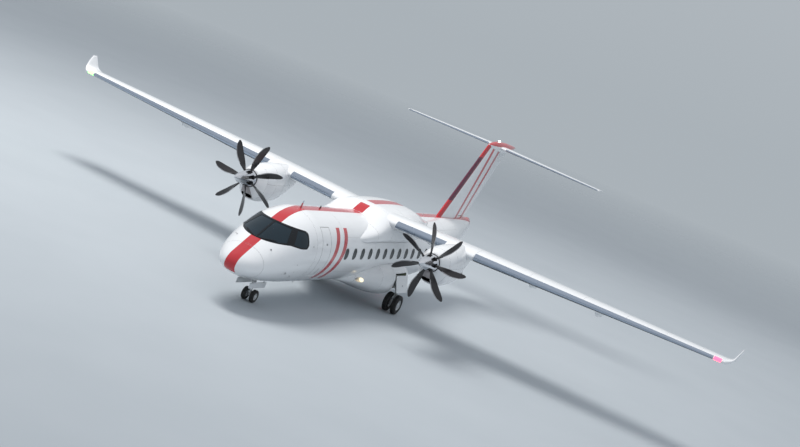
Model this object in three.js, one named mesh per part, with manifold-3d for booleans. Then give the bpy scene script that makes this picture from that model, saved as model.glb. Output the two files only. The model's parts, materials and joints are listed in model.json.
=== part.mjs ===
// A high-wing twin turboprop airliner, standing on its landing gear.
// Millimetres. The nose points along -Y, the left wing along +X, and +Z is up.
// The origin lies on the ground below the middle of the aircraft.
import * as THREE from "three";
import { mergeVertices } from "three/addons/utils/BufferGeometryUtils.js";
import Module from "manifold-3d";

const wasm = await Module();
wasm.setup();

// Driving dimensions. A station is a distance aft of the nose tip, a height is above the fuselage axis.
const LENGTH = 25880;
const HALF_SPAN = 15140;
const AXIS_HEIGHT = 2200;
const BODY_RADIUS = 1365;
const SEAT = 0.3; // gap between two pieces that rest on each other
const RUN = 8; // gap beside a piece that moves
const BODY_SIDES = 24;
const SMALL_SIDES = 12; // of a slim streamlined body, and of a pin
const ROUND_SIDES = 16; // of a wheel and a strut
const SHAFT_SIDES = 24; // of a shaft that turns in a close bore
const FAR = 40000; // reach of a cutting block past the aircraft

const at = (x, station, height) => new THREE.Vector3(x, station - LENGTH / 2, height + AXIS_HEIGHT);

// Fuselage sections
const BODY = [
  { station: 0, top: -760, bottom: -760, half: 0, middle: -760 },
  { station: 60, top: -580, bottom: -920, half: 270, middle: -760 },
  { station: 200, top: -430, bottom: -1020, half: 460, middle: -740 },
  { station: 500, top: -240, bottom: -1125, half: 700, middle: -690 },
  { station: 1170, top: 180, bottom: -1240, half: 1000, middle: -520 },
  { station: 2270, top: 850, bottom: -1330, half: 1250, middle: -240 },
  { station: 2800, top: 1130, bottom: -1355, half: 1315, middle: -130 },
  { station: 3400, top: 1295, bottom: -BODY_RADIUS, half: 1355, middle: -50 },
  { station: 4000, top: BODY_RADIUS, bottom: -BODY_RADIUS, half: BODY_RADIUS, middle: 0 },
  { station: 14900, top: BODY_RADIUS, bottom: -BODY_RADIUS, half: BODY_RADIUS, middle: 0 },
  { station: 17400, top: 1365, bottom: -1100, half: 1240, middle: 140 },
  { station: 19900, top: 1365, bottom: -550, half: 880, middle: 440 },
  { station: 21900, top: 1370, bottom: 50, half: 450, middle: 740 },
  { station: 23300, top: 1370, bottom: 550, half: 100, middle: 960 },
];

// Wing sections: leading edge station, chord, thickness and height of the chord line
const WING = [
  { x: 0, leading: 9650, chord: 2950, thick: 500, height: 1360 },
  { x: 4700, leading: 10238, chord: 2950, thick: 470, height: 1452 },
  { x: 14760, leading: 11495, chord: 1450, thick: 200, height: 1648 },
];
const WING_JOINT = 4700; // where an outer wing meets the centre section
const WING_CAMBER = 0.02;
const WINGLET = [
  { x: 14760, leading: 11495, chord: 1450, thick: 200, height: 1648 },
  { x: 14980, leading: 11780, chord: 1020, thick: 120, height: 1800 },
  { x: 15080, leading: 12050, chord: 620, thick: 70, height: 2080 },
  { x: HALF_SPAN, leading: 12300, chord: 300, thick: 40, height: 2285 },
];
const FLAP_FRACTION = 0.74; // chord fraction where flaps and ailerons start
const FLAPS = [
  { name: "inner", from: 1680, to: 3380, tracks: [2450] },
  { name: "outer", from: 4850, to: 10700, tracks: [6830, 9620] },
];
const AILERON = { from: 10960, to: 14330, stub: 33, pin: 10 };
const END_GAP = 25; // at the ends of a flap

// A flap's track fairing. The flap turns at its hinge, which lies a drop below the chord line.
const TRACK = {
  half: 70,
  radius: 95,
  drop: 330,
  under: 120,
  back: 0.82,
  lug: 15,
  lugRadius: 40,
  lugRoot: 60,
  lugSpace: 6,
  slotPast: 20,
  pin: 12,
  pinInset: 5,
  reach: 200,
};
// Its sections: distance aft of the hinge, half width, top above the chord line,
// and bottom above the fairing's lowest line
const TRACK_ROWS = [
  { aft: -1350, half: 20, top: -60, bottom: 315 },
  { aft: -900, half: TRACK.half, top: 0, bottom: 60 },
  { aft: -300, half: TRACK.half, top: 0, bottom: 0 },
  { aft: 0, half: TRACK.half, top: 20, bottom: 0 },
  { aft: 450, half: 50, top: -10, bottom: 110 },
  { aft: 800, half: 12, top: -70, bottom: 295 },
];

// Wing fairing over the fuselage. A corner below 1 makes a section squarer than an ellipse.
const SADDLE_CORNER = 0.75;
const SADDLE = [
  { station: 7200, half: 1150, top: 780, bottom: 420, middle: 600 },
  { station: 8200, half: 1290, top: 1020, bottom: 420, middle: 640 },
  { station: 8800, half: 1340, top: 1150, bottom: 420, middle: 720 },
  { station: 9300, half: 1380, top: 1390, bottom: 420, middle: 780 },
  { station: 9850, half: 1400, top: 1670, bottom: 420, middle: 840 },
  { station: 10400, half: 1410, top: 1760, bottom: 420, middle: 860 },
  { station: 12200, half: 1410, top: 1800, bottom: 420, middle: 860 },
  { station: 13400, half: 1340, top: 1770, bottom: 580, middle: 900 },
  { station: 14100, half: 1150, top: 1660, bottom: 960, middle: 1100 },
  { station: 15000, half: 900, top: 1480, bottom: 1040, middle: 1160 },
  { station: 16000, half: 600, top: 1290, bottom: 1100, middle: 1180 },
].map((row) => ({ ...row, corner: SADDLE_CORNER }));

// Belly fairing with the main gear bays
const BELLY_CORNER = 0.72;
const BELLY = [
  { station: 8000, half: 800, top: -760, bottom: -1280 },
  { station: 8800, half: 1150, top: -530, bottom: -1360 },
  { station: 9600, half: 1500, top: -320, bottom: -1480 },
  { station: 10400, half: 1720, top: -200, bottom: -1630 },
  { station: 11200, half: 1790, top: -140, bottom: -1720 },
  { station: 12000, half: 1760, top: -120, bottom: -1670 },
  { station: 12800, half: 1670, top: -160, bottom: -1530 },
  { station: 13600, half: 1480, top: -420, bottom: -1390 },
  { station: 14300, half: 900, top: -900, bottom: -1220 },
].map((row) => ({ ...row, corner: BELLY_CORNER }));

// Engines
const ENGINE_X = 4033;
const ENGINE_HEIGHT = 967;
const NACELLE = [
  { station: 7720, half: 400, top: 1367, bottom: 560, middle: 967 },
  { station: 8000, half: 500, top: 1460, bottom: 260, middle: 940 },
  { station: 8200, half: 580, top: 1520, bottom: 140, middle: 910 },
  { station: 8800, half: 630, top: 1620, bottom: 80, middle: 880 },
  { station: 9600, half: 600, top: 1680, bottom: 110, middle: 900 },
  { station: 10400, half: 460, top: 1690, bottom: 290, middle: 960 },
  { station: 11200, half: 280, top: 1640, bottom: 600, middle: 1060 },
  { station: 11900, half: 130, top: 1500, bottom: 960, middle: 1180 },
];
const BAY = { mouth: 345, front: 7720, step: 8100, back: 9600, half: 300, rise: 330 };
const BLOCK = { half: 250, rise: 280, front: 8150, back: 9500 };
const BEARER = { into: 20, inset: 150, low: -60, high: 20 }; // each side of the engine block
const INTAKE = { half: 230, top: 370, bottom: 250, back: 8500 };
const EXHAUST = {
  offset: 100,
  height: 660,
  front: 9900,
  back: 11150,
  flare: 30,
  droop: 100,
  radius: 120,
  wall: 12,
  solid: 500,
  clear: 400, // the hollow that the gas leaves through runs on past the pipe
};

// Propellers
const BLADES = 7;
const HUB_SIDES = 3 * BLADES;
const PROP = {
  plane: 7500,
  hubRadius: 230,
  front: 7320,
  back: 7680,
  root: 60,
  rootStart: 100,
  rootEnd: 420,
  rootTaper: 0.75,
  rootSides: 8,
  shaft: 60,
  shaftEnd: 8350,
};
const BLADE = [
  { radius: 330, chord: 110, thick: 80, pitch: 62, sweep: 0 },
  { radius: 560, chord: 230, thick: 50, pitch: 52, sweep: -20 },
  { radius: 900, chord: 290, thick: 34, pitch: 40, sweep: -25 },
  { radius: 1250, chord: 250, thick: 22, pitch: 32, sweep: 20 },
  { radius: 1500, chord: 110, thick: 10, pitch: 27, sweep: 90 },
];
const SPINNER_TIP = 6470;
const SPINNER_BACK = 7700;
const SPINNER_GAP = { hub: 2, root: 4 };
// The spinner's outline: radius, distance aft of its tip
const SPINNER = [
  [0, 0],
  [60, 60],
  [120, 180],
  [190, 400],
  [255, 680],
  [300, 930],
  [330, SPINNER_BACK - SPINNER_TIP],
];

// A blade's section: share of its chord, share of its thickness
const BLADE_SECTION = [
  [-0.5, 0],
  [-0.2, 0.5],
  [0.2, 0.42],
  [0.5, 0],
  [0.2, -0.42],
  [-0.2, -0.5],
];

// Tail
const FIN = [
  { height: 900, leading: 18202, trailing: 21937, thick: 320 },
  { height: 1456, leading: 18680, trailing: 22334, thick: 300 },
  { height: 4950, leading: 21681, trailing: 24833, thick: 220 },
];
const RUDDER = {
  fraction: 0.68,
  low: 1470,
  high: 4450,
  reach: 2500,
  topSlope: 0.08,
  gap: 30,
  pin: 14,
  stub: 55,
};
const BULLET = [
  { station: 21750, half: 0, top: 4930, bottom: 4930 },
  { station: 22100, half: 130, top: 5060, bottom: 4800 },
  { station: 22900, half: 190, top: 5160, bottom: 4720 },
  { station: 23900, half: 200, top: 5170, bottom: 4700 },
  { station: 24800, half: 160, top: 5130, bottom: 4740 },
  { station: LENGTH, half: 0, top: 5040, bottom: 5040 },
];
const TAILPLANE = [
  { x: 0, leading: 22950, chord: 1750, thick: 170, height: 4930 },
  { x: 5050, leading: 23750, chord: 1000, thick: 90, height: 4860 },
];
const ELEVATOR = { fraction: 0.66, from: 330, to: 4700, stub: 33, pin: 9 };

// Landing gear
const GROUND = -AXIS_HEIGHT;
const PIN_REACH = 40; // how far a leg's pins go into the walls of its well
const PIN_END = 1; // a pin's end clears the end of its bore
const MAIN = {
  x: 1800,
  station: 12050,
  tyreRadius: 400,
  tyreHalf: 110,
  spacing: 185,
  axle: 38,
  knuckle: 62,
  knuckleHalf: 75,
  trunnionX: 1400,
  trunnionHeight: -800,
  trunnion: 35,
  shoulder: 80,
  elbowHeight: -1290,
  strut: 55,
  brace: 32,
  braceFront: 120,
  braceBack: 80,
};
const MAIN_WELL = { inner: 1120, outer: 2200, front: 11350, back: 12750, low: -1900, high: -560 };
// The door hangs beside the leg, and leans out from the upper edge of its bay
const MAIN_DOOR = {
  skin: 25,
  topX: 1745,
  topHeight: -640,
  lowX: 1985,
  lowHeight: -1290,
  inset: 60,
  lowInset: 120,
  bar: 22,
  barX: 1950,
  barHeight: -1000,
};
const NOSE = {
  station: 2500,
  trail: 50,
  tyreRadius: 235,
  tyreHalf: 80,
  spacing: 165,
  axle: 26,
  barrel: 62,
  barrelTop: -960,
  barrelEnd: -1500,
  piston: 42,
  pistonTop: -1256,
  pistonEnd: -1860,
  boreTop: -1250,
  trunnion: 30,
  trunnionHeight: -1010,
  braceFoot: -1330,
};
const BRACE = { station: 2890, height: -1060, pin: 18, strut: 24 };
const FORK = { half: 38, front: 40, high: -1830 };
const TOW = { front: 2390, half: 30, height: -1850, rise: 24 };
const NOSE_WELL = { half: 265, front: 1600, back: 2960, low: -2000, high: -920 };
const NOSE_DOOR = { skin: 20, tab: 14, inset: 20, low: -1610, high: -1395, tabHigh: -1150, tabWidth: 60 };

// Finishes, one for each kind of surface
const FINISHES = {
  white_paint: { color: 0xe9ebef, roughness: 0.28, metalness: 0.0 },
  red_paint: { color: 0x8b1520, roughness: 0.3, metalness: 0.0 },
  dark_glass: { color: 0x0a1c2b, roughness: 0.08, metalness: 0.0 },
  polished_metal: { color: 0xc9ccd2, roughness: 0.16, metalness: 1.0 },
  blade_black: { color: 0x17151a, roughness: 0.4, metalness: 0.0 },
  gear_grey: { color: 0xb9bdc2, roughness: 0.45, metalness: 0.3 },
  hot_metal: { color: 0x5b514a, roughness: 0.5, metalness: 1.0 },
  cast_metal: { color: 0x7c7f83, roughness: 0.6, metalness: 0.8 },
  rubber: { color: 0x1b1b1c, roughness: 0.85, metalness: 0.0 },
};

// Solids

// A geometry as a solid, turned face side out where a mirrored side has turned it in
function solid(geometry) {
  const bare = geometry.index ? geometry.toNonIndexed() : geometry.clone();
  for (const name of Object.keys(bare.attributes)) {
    if (name !== "position") bare.deleteAttribute(name);
  }
  const merged = mergeVertices(bare, 1e-3);
  const faces = [];
  for (let i = 0; i < merged.index.count; i += 3) {
    const [a, b, c] = [0, 1, 2].map((k) => merged.index.getX(i + k));
    if (a !== b && b !== c && c !== a) faces.push([a, b, c]);
  }
  const build = () =>
    new wasm.Manifold(
      new wasm.Mesh({
        numProp: 3,
        vertProperties: merged.attributes.position.array,
        triVerts: new Uint32Array(faces.flat()),
      }),
    );
  const made = build();
  if (made.volume() > 0) return made;
  faces.forEach((face) => face.reverse());
  return build();
}

// A solid through a row of rings that have the same number of points
function loft(rings) {
  const count = rings[0].length;
  const points = rings.flat();
  const index = [];
  for (let k = 0; k + 1 < rings.length; k += 1) {
    for (let i = 0; i < count; i += 1) {
      const [a, b] = [k * count + i, k * count + ((i + 1) % count)];
      index.push(a, b, b + count, a, b + count, a + count);
    }
  }
  [0, rings.length - 1].forEach((k) => {
    const middle = points.length;
    const centre = rings[k].reduce((sum, p) => sum.add(p), new THREE.Vector3());
    points.push(centre.divideScalar(count));
    for (let i = 0; i < count; i += 1) {
      const edge = [k * count + i, k * count + ((i + 1) % count)];
      if (k === 0) edge.reverse();
      index.push(...edge, middle);
    }
  });
  const geometry = new THREE.BufferGeometry().setFromPoints(points);
  geometry.setIndex(index);
  return solid(geometry);
}

// An outline extruded along one axis: across gives [station, height] pairs along X,
// plan gives [x, station] pairs along Z
const extrude = (outline, depth) =>
  new THREE.ExtrudeGeometry(new THREE.Shape(outline.map(([a, b]) => new THREE.Vector2(a, b))), {
    depth,
    bevelEnabled: false,
  });

function across(outline, from, to) {
  const flat = outline.map(([station, height]) => {
    const p = at(0, station, height);
    return [p.y, p.z];
  });
  const [low, high] = [Math.min(from, to), Math.max(from, to)];
  const turn = new THREE.Matrix4().makeBasis(
    new THREE.Vector3(0, 1, 0),
    new THREE.Vector3(0, 0, 1),
    new THREE.Vector3(1, 0, 0),
  );
  return solid(extrude(flat, high - low).applyMatrix4(turn).translate(low, 0, 0));
}

function plan(outline, low, high) {
  const flat = outline.map(([x, station]) => [x, at(0, station, 0).y]);
  return solid(extrude(flat, high - low).translate(0, 0, at(0, 0, low).z));
}

function block(x0, x1, station0, station1, height0, height1) {
  const outline = [
    [station0, height0],
    [station1, height0],
    [station1, height1],
    [station0, height1],
  ];
  return across(outline, x0, x1);
}

// A round bar, or a cone, from one point to another
function rod(from, to, radius, endRadius = radius, sides = SMALL_SIDES) {
  const along = to.clone().sub(from);
  const geometry = new THREE.CylinderGeometry(endRadius, radius, along.length(), sides);
  const turn = new THREE.Quaternion().setFromUnitVectors(
    new THREE.Vector3(0, 1, 0),
    along.clone().normalize(),
  );
  geometry.applyQuaternion(turn);
  const middle = from.clone().add(to).divideScalar(2);
  return solid(geometry.translate(middle.x, middle.y, middle.z));
}

// A turned piece about the X axis, from [radius, x] pairs. Its lowest facet lies flat.
function turned(profile, sides) {
  const grow = 1 / Math.cos(Math.PI / sides);
  const points = profile.map(([radius, x]) => new THREE.Vector2(radius * grow, x));
  const geometry = new THREE.LatheGeometry(points, sides, Math.PI / sides);
  return geometry.rotateZ(-Math.PI / 2);
}

// The hole that a round bar turns in, wide enough between its facets
const boreRadius = (radius, sides = SMALL_SIDES) => (radius + SEAT) / Math.cos(Math.PI / sides);

// A bore along two points, for a bar that turns in it
const bore = (from, to, radius, sides = SMALL_SIDES) =>
  rod(from, to, boreRadius(radius, sides), boreRadius(radius, sides), sides);

const join = (...solids) => wasm.Manifold.union(solids);

// A body's ring: upper and lower half ellipses about a middle height
function bodyRing(row, grow, centre, sides) {
  const middle = row.middle ?? (row.top + row.bottom) / 2;
  const bend = (share) => Math.sign(share) * Math.abs(share) ** (row.corner ?? 1);
  return Array.from({ length: sides }, (_, i) => {
    const angle = ((i + 0.5) * 2 * Math.PI) / sides;
    const [out, up] = [bend(Math.cos(angle)), bend(Math.sin(angle))];
    const rise = (up > 0 ? row.top - middle : middle - row.bottom) + grow;
    return at(centre + (row.half + grow) * out, row.station, middle + rise * up);
  });
}
const bodyLoft = (rows, grow = 0, centre = 0, sides = BODY_SIDES) =>
  loft(
    rows.map((row, i) => {
      const end = i === 0 ? -grow : i === rows.length - 1 ? grow : 0;
      return bodyRing({ ...row, station: row.station + end }, grow, centre, sides);
    }),
  );

// Half the thickness of a streamlined section, as a share of its full thickness
const fullness = (f) =>
  5 * (0.2969 * Math.sqrt(f) - 0.126 * f - 0.3516 * f ** 2 + 0.2843 * f ** 3 - 0.1015 * f ** 4);
const CHORD_STEPS = [0.02, 0.09, 0.25, 0.5, 0.75, 1];

// The ring of a wing section, from the lower trailing edge round the nose to the upper one
function foilRing(row, side, camber, grow) {
  const point = (f, sign) => {
    const bend = camber * row.chord * 4 * f * (1 - f);
    const rise = row.thick * fullness(f) + grow;
    const shift = f === 1 ? grow : 0;
    return at(side * row.x, row.leading + f * row.chord + shift, row.height + bend + sign * rise);
  };
  const nose = at(side * row.x, row.leading - grow, row.height);
  const back = [...CHORD_STEPS].reverse();
  return [...back.map((f) => point(f, -1)), nose, ...CHORD_STEPS.map((f) => point(f, 1))];
}
const foilLoft = (rows, side, camber = 0, grow = 0) =>
  loft(rows.map((row) => foilRing(row, side, camber, grow)));

// A section between the rows of a table
function between(rows, key, value) {
  const next = Math.max(1, rows.findIndex((row) => row[key] >= value));
  const [a, b] = [rows[next - 1], rows[next]];
  const share = (value - a[key]) / (b[key] - a[key]);
  return Object.fromEntries(Object.keys(a).map((k) => [k, a[k] + share * (b[k] - a[k])]));
}
const wingAt = (x) => between(WING, "x", x);

// The point of a section's middle line at a share of its chord, and its half thickness there
function spar(rows, x, fraction, side, camber = 0) {
  const row = between(rows, "x", x);
  const bend = camber * row.chord * 4 * fraction * (1 - fraction);
  const point = at(side * x, row.leading + fraction * row.chord, row.height + bend);
  return { point, half: row.thick * fullness(fraction) };
}

// The round nose of a hinged surface: its share of the thickness, and the gaps beside it and
// round the surface's corners, which turn behind it
const HINGE_NOSE = { share: 0.9, side: RUN + 2, round: 6 };

// Splits a surface at a hinge line: what lies in the moving block turns about it on a pin
function hinged(fixed, whole, movingBlock, cutBlock, ends, pin, stub, side = HINGE_NOSE.side) {
  const [a, b] = ends;
  const along = b.point.clone().sub(a.point).normalize();
  const beyond = (end, distance) => end.point.clone().addScaledVector(along, distance);
  const moving = join(
    whole.intersect(movingBlock),
    rod(a.point, b.point, HINGE_NOSE.share * a.half, HINGE_NOSE.share * b.half),
    rod(beyond(a, -stub), beyond(b, stub), pin),
  );
  const coveRadius = (end) => (end.half + HINGE_NOSE.round) / Math.cos(Math.PI / SMALL_SIDES);
  const cove = rod(beyond(a, -side), beyond(b, side), coveRadius(a), coveRadius(b));
  const pinBore = bore(beyond(a, -stub - RUN), beyond(b, stub + RUN), pin);
  return { moving, fixed: fixed.subtract(cutBlock).subtract(cove).subtract(pinBore) };
}

// Everything behind a hinge line, between its two ends and a gap past them
function behindHinge(ends, { from, to }, side, gap) {
  const [near, far] = [side * (from - gap), side * (to + gap)];
  const [nearStation, farStation] = ends.map((end) => end.point.y + LENGTH / 2);
  const outline = [
    [near, nearStation],
    [far, farStation],
    [far, FAR],
    [near, FAR],
  ];
  return plan(outline, -FAR, FAR);
}

// Adds a door's hinge: a barrel on the door between two lugs on the body, with a pin through them.
// Places along the hinge are shares of its length.
const BARREL = {
  radius: 14,
  pin: 7,
  clear: 20,
  from: 1 / 3,
  to: 2 / 3,
  gap: 0.02,
  boreEnd: 0.05,
  pinEnd: 0.08,
};
function doorHinge(body, door, start, end) {
  const along = end.clone().sub(start);
  const point = (share) => start.clone().addScaledVector(along, share);
  const { radius, pin, clear, from, to, gap, boreEnd, pinEnd } = BARREL;
  const lugs = [rod(point(0), point(from - gap), radius), rod(point(to + gap), point(1), radius)];
  const lugSpaces = [
    rod(point(-gap), point(from - gap / 4), clear),
    rod(point(to + gap / 4), point(1 + gap), clear),
  ];
  const barrelSpace = rod(point(from - gap), point(to + gap), clear);
  return {
    body: join(body.subtract(barrelSpace), ...lugs).subtract(bore(point(boreEnd), point(1 - boreEnd), pin)),
    door: join(
      door.subtract(lugSpaces[0]).subtract(lugSpaces[1]),
      rod(point(from), point(to), radius),
      rod(point(pinEnd), point(1 - pinEnd), pin),
    ),
  };
}

// The model
const model = new THREE.Group();
model.name = "airliner";

function add(group, name, piece, finish, position) {
  const { numProp, vertProperties, triVerts } = piece.getMesh();
  const geometry = new THREE.BufferGeometry();
  geometry.setAttribute("position", new THREE.BufferAttribute(vertProperties, numProp));
  geometry.setIndex(new THREE.BufferAttribute(triVerts, 1));
  geometry.computeVertexNormals();
  const mesh = new THREE.Mesh(geometry, new THREE.MeshStandardMaterial(FINISHES[finish]));
  mesh.name = name;
  if (position) mesh.position.copy(position);
  group.add(mesh);
}
function section() {
  const group = new THREE.Group();
  model.add(group);
  return group;
}
const SIDES = [
  { name: "left", side: 1 },
  { name: "right", side: -1 },
];

// Fuselage

// A panel of the fuselage's skin inside a cutting shape, and the pocket that it lies in
function skinPanel(body, opening, panel, thickness, clearance) {
  const pocket = opening.subtract(bodyLoft(BODY, -thickness - clearance));
  const skin = bodyLoft(BODY).intersect(panel).subtract(bodyLoft(BODY, -thickness));
  return { body: body.subtract(pocket), panel: skin };
}

const GLASS_OUTLINE = [
  [1000, 850],
  [1000, 190],
  [1230, 200],
  [2010, 300],
  [2500, 250],
  [2840, 270],
  [2970, 400],
  [3040, 770],
  [2940, 830],
  [2270, 850],
];
const GLASS_MIDDLE = [2000, 530];
const GLASS_SHARE = 0.999; // the pane's outline is this share of its opening's
const GLASS_SKIN = 30;
const DOOR_SKIN = 80;
const DOORS = [
  { name: "passenger_door", side: 1, front: 4000, back: 4750, low: -800, high: 1000, hinge: "low" },
  { name: "baggage_door", side: -1, front: 4300, back: 5350, low: -450, high: 850, hinge: "high" },
  { name: "service_door", side: -1, front: 14200, back: 14850, low: -550, high: 900, hinge: "high" },
];
const HINGE_OUT = 3; // a door's hinge axis lies this far outside the skin

// The distance from the axis to the faceted skin, at an angle from level
function skinRadius(angle) {
  const step = (2 * Math.PI) / BODY_SIDES;
  const offset = angle - Math.round(angle / step) * step;
  return (BODY_RADIUS * Math.cos(step / 2)) / Math.cos(offset);
}

// The two ends of a door's hinge axis, along its lower or upper edge
function doorAxis(door) {
  const angle = Math.asin(door[door.hinge] / BODY_RADIUS);
  const radius = skinRadius(angle) + HINGE_OUT;
  const [x, level] = [door.side * radius * Math.cos(angle), radius * Math.sin(angle)];
  return [at(x, door.front + 2 * RUN, level), at(x, door.back - 2 * RUN, level)];
}

// The wedge of the fuselage that a door fills. Its edges point at the fuselage axis,
// so that the door swings clear of its opening.
function doorWedge({ side, front, back, low, high }, gap) {
  const radius = 2 * BODY_RADIUS;
  const turn = gap / BODY_RADIUS;
  const edge = (angle, station) => at(side * radius * Math.cos(angle), station, radius * Math.sin(angle));
  const ring = (station) => [
    at(0, station, 0),
    edge(Math.asin(low / BODY_RADIUS) + turn, station),
    edge(Math.asin(high / BODY_RADIUS) - turn, station),
  ];
  return loft([ring(front + gap), ring(back - gap)]);
}

let fuselage = bodyLoft(BODY);
const paneOutline = GLASS_OUTLINE.map((point) =>
  point.map((value, i) => GLASS_MIDDLE[i] + (value - GLASS_MIDDLE[i]) * GLASS_SHARE),
);
const glazing = skinPanel(
  fuselage,
  across(GLASS_OUTLINE, -FAR, FAR),
  across(paneOutline, -FAR, FAR),
  GLASS_SKIN,
  SEAT,
);
fuselage = glazing.body;

const body = section();
for (const door of DOORS) {
  const cut = skinPanel(fuselage, doorWedge(door, 0), doorWedge(door, RUN), DOOR_SKIN, 2 * RUN);
  const [from, to] = doorAxis(door);
  const made = doorHinge(cut.body, cut.panel, from, to);
  fuselage = made.body;
  add(body, door.name, made.door, "white_paint");
}

// A pin across the nose gear well, or the bore that holds it
function acrossNoseWell(station, height, radius, past = 0) {
  const reach = NOSE_WELL.half + PIN_REACH + past;
  return rod(at(-reach, station, height), at(reach, station, height), radius);
}
const noseWell = block(
  -NOSE_WELL.half,
  NOSE_WELL.half,
  NOSE_WELL.front,
  NOSE_WELL.back,
  NOSE_WELL.low,
  NOSE_WELL.high,
);
fuselage = fuselage
  .subtract(noseWell)
  .subtract(acrossNoseWell(NOSE.station, NOSE.trunnionHeight, NOSE.trunnion + SEAT, PIN_END))
  .subtract(acrossNoseWell(BRACE.station, BRACE.height, BRACE.pin + SEAT, PIN_END));

// Jacking pads: a flat disc that stands a little below the skin
const PAD = {
  radius: 60,
  nose: { station: 3300, face: -1385, root: -1200 },
  wing: { x: 5400, fraction: 0.35, drop: 15 },
};
const padDisc = (from, to) => rod(from, to, PAD.radius, PAD.radius, ROUND_SIDES);
fuselage = fuselage.add(
  padDisc(at(0, PAD.nose.station, PAD.nose.face), at(0, PAD.nose.station, PAD.nose.root)),
);

// The centre wing passes through the top of the fuselage
const centreRows = [-WING_JOINT, 0, WING_JOINT].map((x) => ({ ...wingAt(Math.abs(x)), x }));
const centreWhole = (grow) => foilLoft(centreRows, 1, WING_CAMBER, grow);
fuselage = fuselage.subtract(centreWhole(SEAT));
add(body, "fuselage", fuselage, "white_paint");
add(body, "glazing", glazing.panel, "dark_glass");

const bodySkin = bodyLoft(BODY, SEAT);
add(
  body,
  "wing_fairing",
  bodyLoft(SADDLE).subtract(bodySkin).subtract(centreWhole(SEAT)),
  "white_paint",
);

// The blade antenna on the roof, as stations and heights
const ANTENNA_OUTLINE = [
  [3790, 1300],
  [4010, 1300],
  [4010, 1620],
  [3930, 1620],
];
const ANTENNA_HALF = 9;
add(body, "antenna", across(ANTENNA_OUTLINE, -ANTENNA_HALF, ANTENNA_HALF).subtract(bodySkin), "red_paint");

// Wing

// A flap turns about a line below the wing, through its track fairings
function flapPivot(x, side) {
  const row = wingAt(x);
  return at(side * x, row.leading + TRACK.back * row.chord, row.height - TRACK.drop);
}
function flapAxis(flap, side) {
  const [first, last] = [flap.tracks[0], flap.tracks.at(-1)];
  if (first === last) return new THREE.Vector3(side, 0, 0);
  return flapPivot(last, side).sub(flapPivot(first, side)).normalize();
}

// The front part of a flap track fairing is fixed to the wing, its rear part to the flap
function trackFairing(x, side, along) {
  const row = wingAt(x);
  const pivot = flapPivot(x, side);
  const centre = side * x;
  const station = row.leading + TRACK.back * row.chord;
  const height = row.height - TRACK.drop;
  const underFlap = row.leading + FLAP_FRACTION * row.chord - RUN;
  const { half, radius, lug, lugRadius, lugRoot, lugSpace, slotPast, reach } = TRACK;
  const rows = TRACK_ROWS.map((r) => ({
    station: station + r.aft,
    half: r.half,
    top: row.height + r.top,
    bottom: height - radius + r.bottom,
  }));
  const shape = bodyLoft(rows, 0, centre, SMALL_SIDES);
  const disc = (r, out) =>
    rod(pivot.clone().addScaledVector(along, -out), pivot.clone().addScaledVector(along, out), r);
  const slab = (from, to, low, high) => block(centre - reach, centre + reach, from, to, low, high);
  const lugBlock = block(
    centre - lug,
    centre + lug,
    station - radius - lugRoot,
    station,
    height - lugRadius,
    height + lugRadius,
  );
  const front = join(
    shape
      .intersect(slab(0, station - RUN, -FAR, FAR))
      .subtract(disc(radius + HINGE_NOSE.side, reach))
      .subtract(slab(underFlap, FAR, row.height - TRACK.under, FAR)),
    lugBlock,
    disc(lugRadius, lug),
  ).subtract(disc(boreRadius(TRACK.pin), reach));
  const slot = block(
    centre - lug - lugSpace,
    centre + lug + lugSpace,
    station - radius - slotPast,
    station + lugRadius + lugSpace,
    height - radius - slotPast,
    height + lugRadius + lugSpace,
  );
  const rear = join(
    join(shape.intersect(slab(station, FAR, -FAR, FAR)), disc(radius, half)).subtract(slot),
    disc(TRACK.pin, half - TRACK.pinInset),
  );
  return { front, rear };
}

// Cuts one flap out of a wing
function cutFlap(wing, whole, flap, side) {
  const edge = (x, fraction) => {
    const row = wingAt(x);
    return row.leading + fraction * row.chord;
  };
  const outline = (gap, shift) => [
    [side * (flap.from + gap), edge(flap.from, FLAP_FRACTION) + shift],
    [side * (flap.to - gap), edge(flap.to, FLAP_FRACTION) + shift],
    [side * (flap.to - gap), FAR],
    [side * (flap.from + gap), FAR],
  ];
  const tracks = flap.tracks.map((x) => trackFairing(x, side, flapAxis(flap, side)));
  const skin = whole.intersect(plan(outline(END_GAP, 2 * RUN), -FAR, FAR));
  const cut = wing.subtract(plan(outline(0, 0), -FAR, FAR));
  return {
    flap: join(skin, ...tracks.map((t) => t.rear)),
    wing: join(cut, ...tracks.map((t) => t.front)),
  };
}

const wings = section();
let centre = centreWhole(0);
for (const { name, side } of SIDES) {
  const inner = cutFlap(centre, centreWhole(0), FLAPS[0], side);
  centre = inner.wing;
  add(wings, `flap_inner_${name}`, inner.flap, "white_paint");
}

for (const { name, side } of SIDES) {
  const rows = [{ ...wingAt(WING_JOINT), x: WING_JOINT + SEAT }, WING[2]];
  const whole = foilLoft(rows, side, WING_CAMBER);
  const outer = cutFlap(whole, whole, FLAPS[1], side);
  add(wings, `flap_outer_${name}`, outer.flap, "white_paint");

  const ends = [AILERON.from, AILERON.to].map((x) => spar(WING, x, FLAP_FRACTION, side, WING_CAMBER));
  const aileron = hinged(
    outer.wing,
    whole,
    behindHinge(ends, AILERON, side, 0),
    behindHinge(ends, AILERON, side, 2 * RUN),
    ends,
    AILERON.pin,
    AILERON.stub,
  );
  add(wings, `aileron_${name}`, aileron.moving, "white_paint");

  const pad = spar(WING, PAD.wing.x, PAD.wing.fraction, side, WING_CAMBER);
  const padFace = pad.point.clone().setZ(pad.point.z - pad.half - PAD.wing.drop);
  const disc = rod(padFace, pad.point, PAD.radius, PAD.radius, ROUND_SIDES);
  add(wings, `wing_${name}`, aileron.fixed.add(disc), "white_paint");

  const tipRows = WINGLET.map((row, i) => (i === 0 ? { ...row, x: row.x + SEAT } : row));
  add(wings, `winglet_${name}`, foilLoft(tipRows, side, 0), "white_paint");
}
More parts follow.
